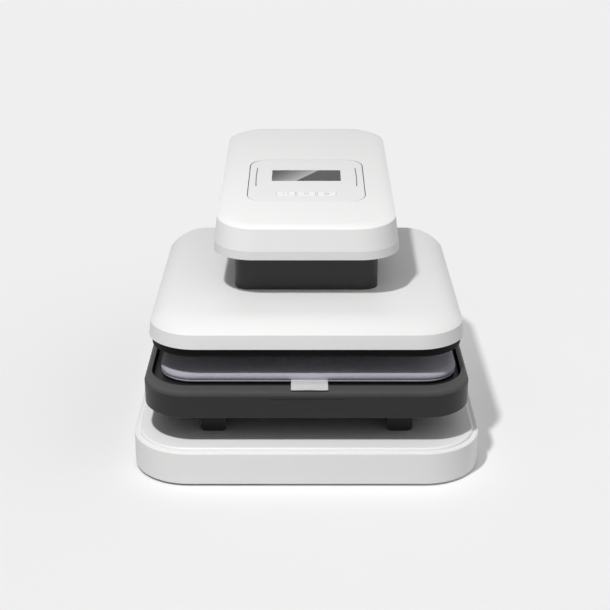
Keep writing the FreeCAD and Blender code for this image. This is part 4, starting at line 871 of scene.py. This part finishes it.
# The boards: green glass-epoxy, screwed down, the key board behind the panel and
# the power board on the arm.
def circuit_board(name):
    """Solder mask over copper: traces show as a lighter green grid, with broken runs."""
    finish = Finish(name)
    place = finish.place()
    runs = finish.add(
        "ShaderNodeTexBrick", {"offset": 0.5},
        {"Vector": place, "Scale": 90.0, "Mortar Size": 0.03, "Mortar": (1, 1, 1, 1),
         "Color1": (0, 0, 0, 1), "Color2": (0.2, 0.2, 0.2, 1)}, "Fac")
    cloudy = finish.speckle(place, 70.0)
    return finish.surface(
        height=runs, depth=0.0001,
        Base_Color=finish.mix(runs * 0.6 + cloudy * 0.3, (0.012, 0.1, 0.035), (0.05, 0.24, 0.1)),
        Roughness=0.3 + cloudy * 0.15)


dress(circuit_board("board_green"), "control_board", "power_board")
dress(screw_steel, "board_screws")


# The studio: a plain pale floor, one lamp above and in front of the object on
# its left, a pale surround that is brighter high up in front and on the right,
# and the photograph's camera.
pale = 0.884
lamp_at = Vector((-0.40, -0.92, 1.74))
lamp_radius = 0.06
lamp_power = 93.0
sky_low = 0.05
sky_top = 0.17
sky_front = 0.58
sky_right = 1.3
sky_on_floor = 0.315
paper_white = 0.9
paper_bounce = 0.7

lamp = bpy.data.lights.new("studio_lamp", "POINT")
lamp.energy = lamp_power
lamp.shadow_soft_size = lamp_radius
lamp = bpy.data.objects.new("studio_lamp", lamp)
lamp.location = lamp_at
bpy.context.scene.collection.objects.link(lamp)


def looked_at(finish):
    """1 where the camera looks on, also by way of metal or glass; 0 for light on its way to a surface."""
    rays = finish.add("ShaderNodeLightPath", output="Is Camera Ray")
    seen = rays.of("MAXIMUM", rays.output("Is Glossy Ray"))
    seen = seen.of("MAXIMUM", rays.output("Is Transmission Ray"))
    return seen * rays.output("Diffuse Depth").of("LESS_THAN", 0.5)


sky = Finish("studio_surround", world=True)
seen = looked_at(sky)
ahead = sky.add("ShaderNodeTexCoord", output="Generated")
rightward = sky.add("ShaderNodeSeparateXYZ", {}, {0: ahead}, "X")
upward = rightward.output("Z").of("MAXIMUM", 0.0)
frontward = (0.0 - rightward.output("Y")).of("MAXIMUM", 0.0)
rightward = rightward.of("MAXIMUM", 0.0)
level = (sky_low + sky_top * upward.of("POWER", 2.0) + sky_front * frontward * upward
         + sky_right * rightward.of("POWER", 2.0) * upward)
shown = (1 - seen) * level + seen * pale
surround = sky.add("ShaderNodeBackground", {}, {"Color": sky.grey(shown)})
sky.add("ShaderNodeOutputWorld", {}, {"Surface": surround})
bpy.context.scene.world = sky.material


def floor_paper(name):
    """White paper. Where the camera looks on, its shade makes up for the lamp's fall-off."""
    finish = Finish(name)
    x = finish.add("ShaderNodeSeparateXYZ", {}, {0: finish.place()}, "X")
    dx = x - lamp_at.x
    dy = x.output("Y") - lamp_at.y
    reach = (dx * dx + dy * dy + lamp_at.z ** 2).of("POWER", -1.5)
    lit = reach * (lamp_power / (4 * math.pi ** 2) * lamp_at.z) + sky_on_floor
    paper = (pale / lit).of("MINIMUM", paper_white)
    glow = (pale - paper * lit).of("MAXIMUM", 0.0)
    seen = looked_at(finish)
    return finish.surface(
        Base_Color=finish.grey(paper * seen + paper_bounce * (1 - seen)),
        Emission_Color=finish.grey(glow * seen), Emission_Strength=1.0,
        Roughness=1.0, Specular_IOR_Level=0.0)


floor_half = 40
floor = bpy.data.meshes.new("studio_floor")
floor_corners = [(x * floor_half, y * floor_half, 0) for x, y in ((-1, -1), (1, -1), (1, 1), (-1, 1))]
floor.from_pydata(floor_corners, [], [(0, 1, 2, 3)])
floor.materials.append(floor_paper("floor_paper"))
floor = bpy.data.objects.new("studio_floor", floor)
bpy.context.scene.collection.objects.link(floor)

camera = bpy.data.cameras.new("photo_view")
camera.lens = 77.8
camera.sensor_width = 36.0
camera.shift_y = -0.0008
camera = bpy.data.objects.new("photo_view", camera)
camera.location = (-0.0019, -1.7862, 0.8413)
camera.rotation_euler = (math.radians(90 - 21.5), 0, 0)
bpy.context.scene.collection.objects.link(camera)
bpy.context.scene.camera = camera
bpy.context.scene.view_settings.view_transform = "Standard"
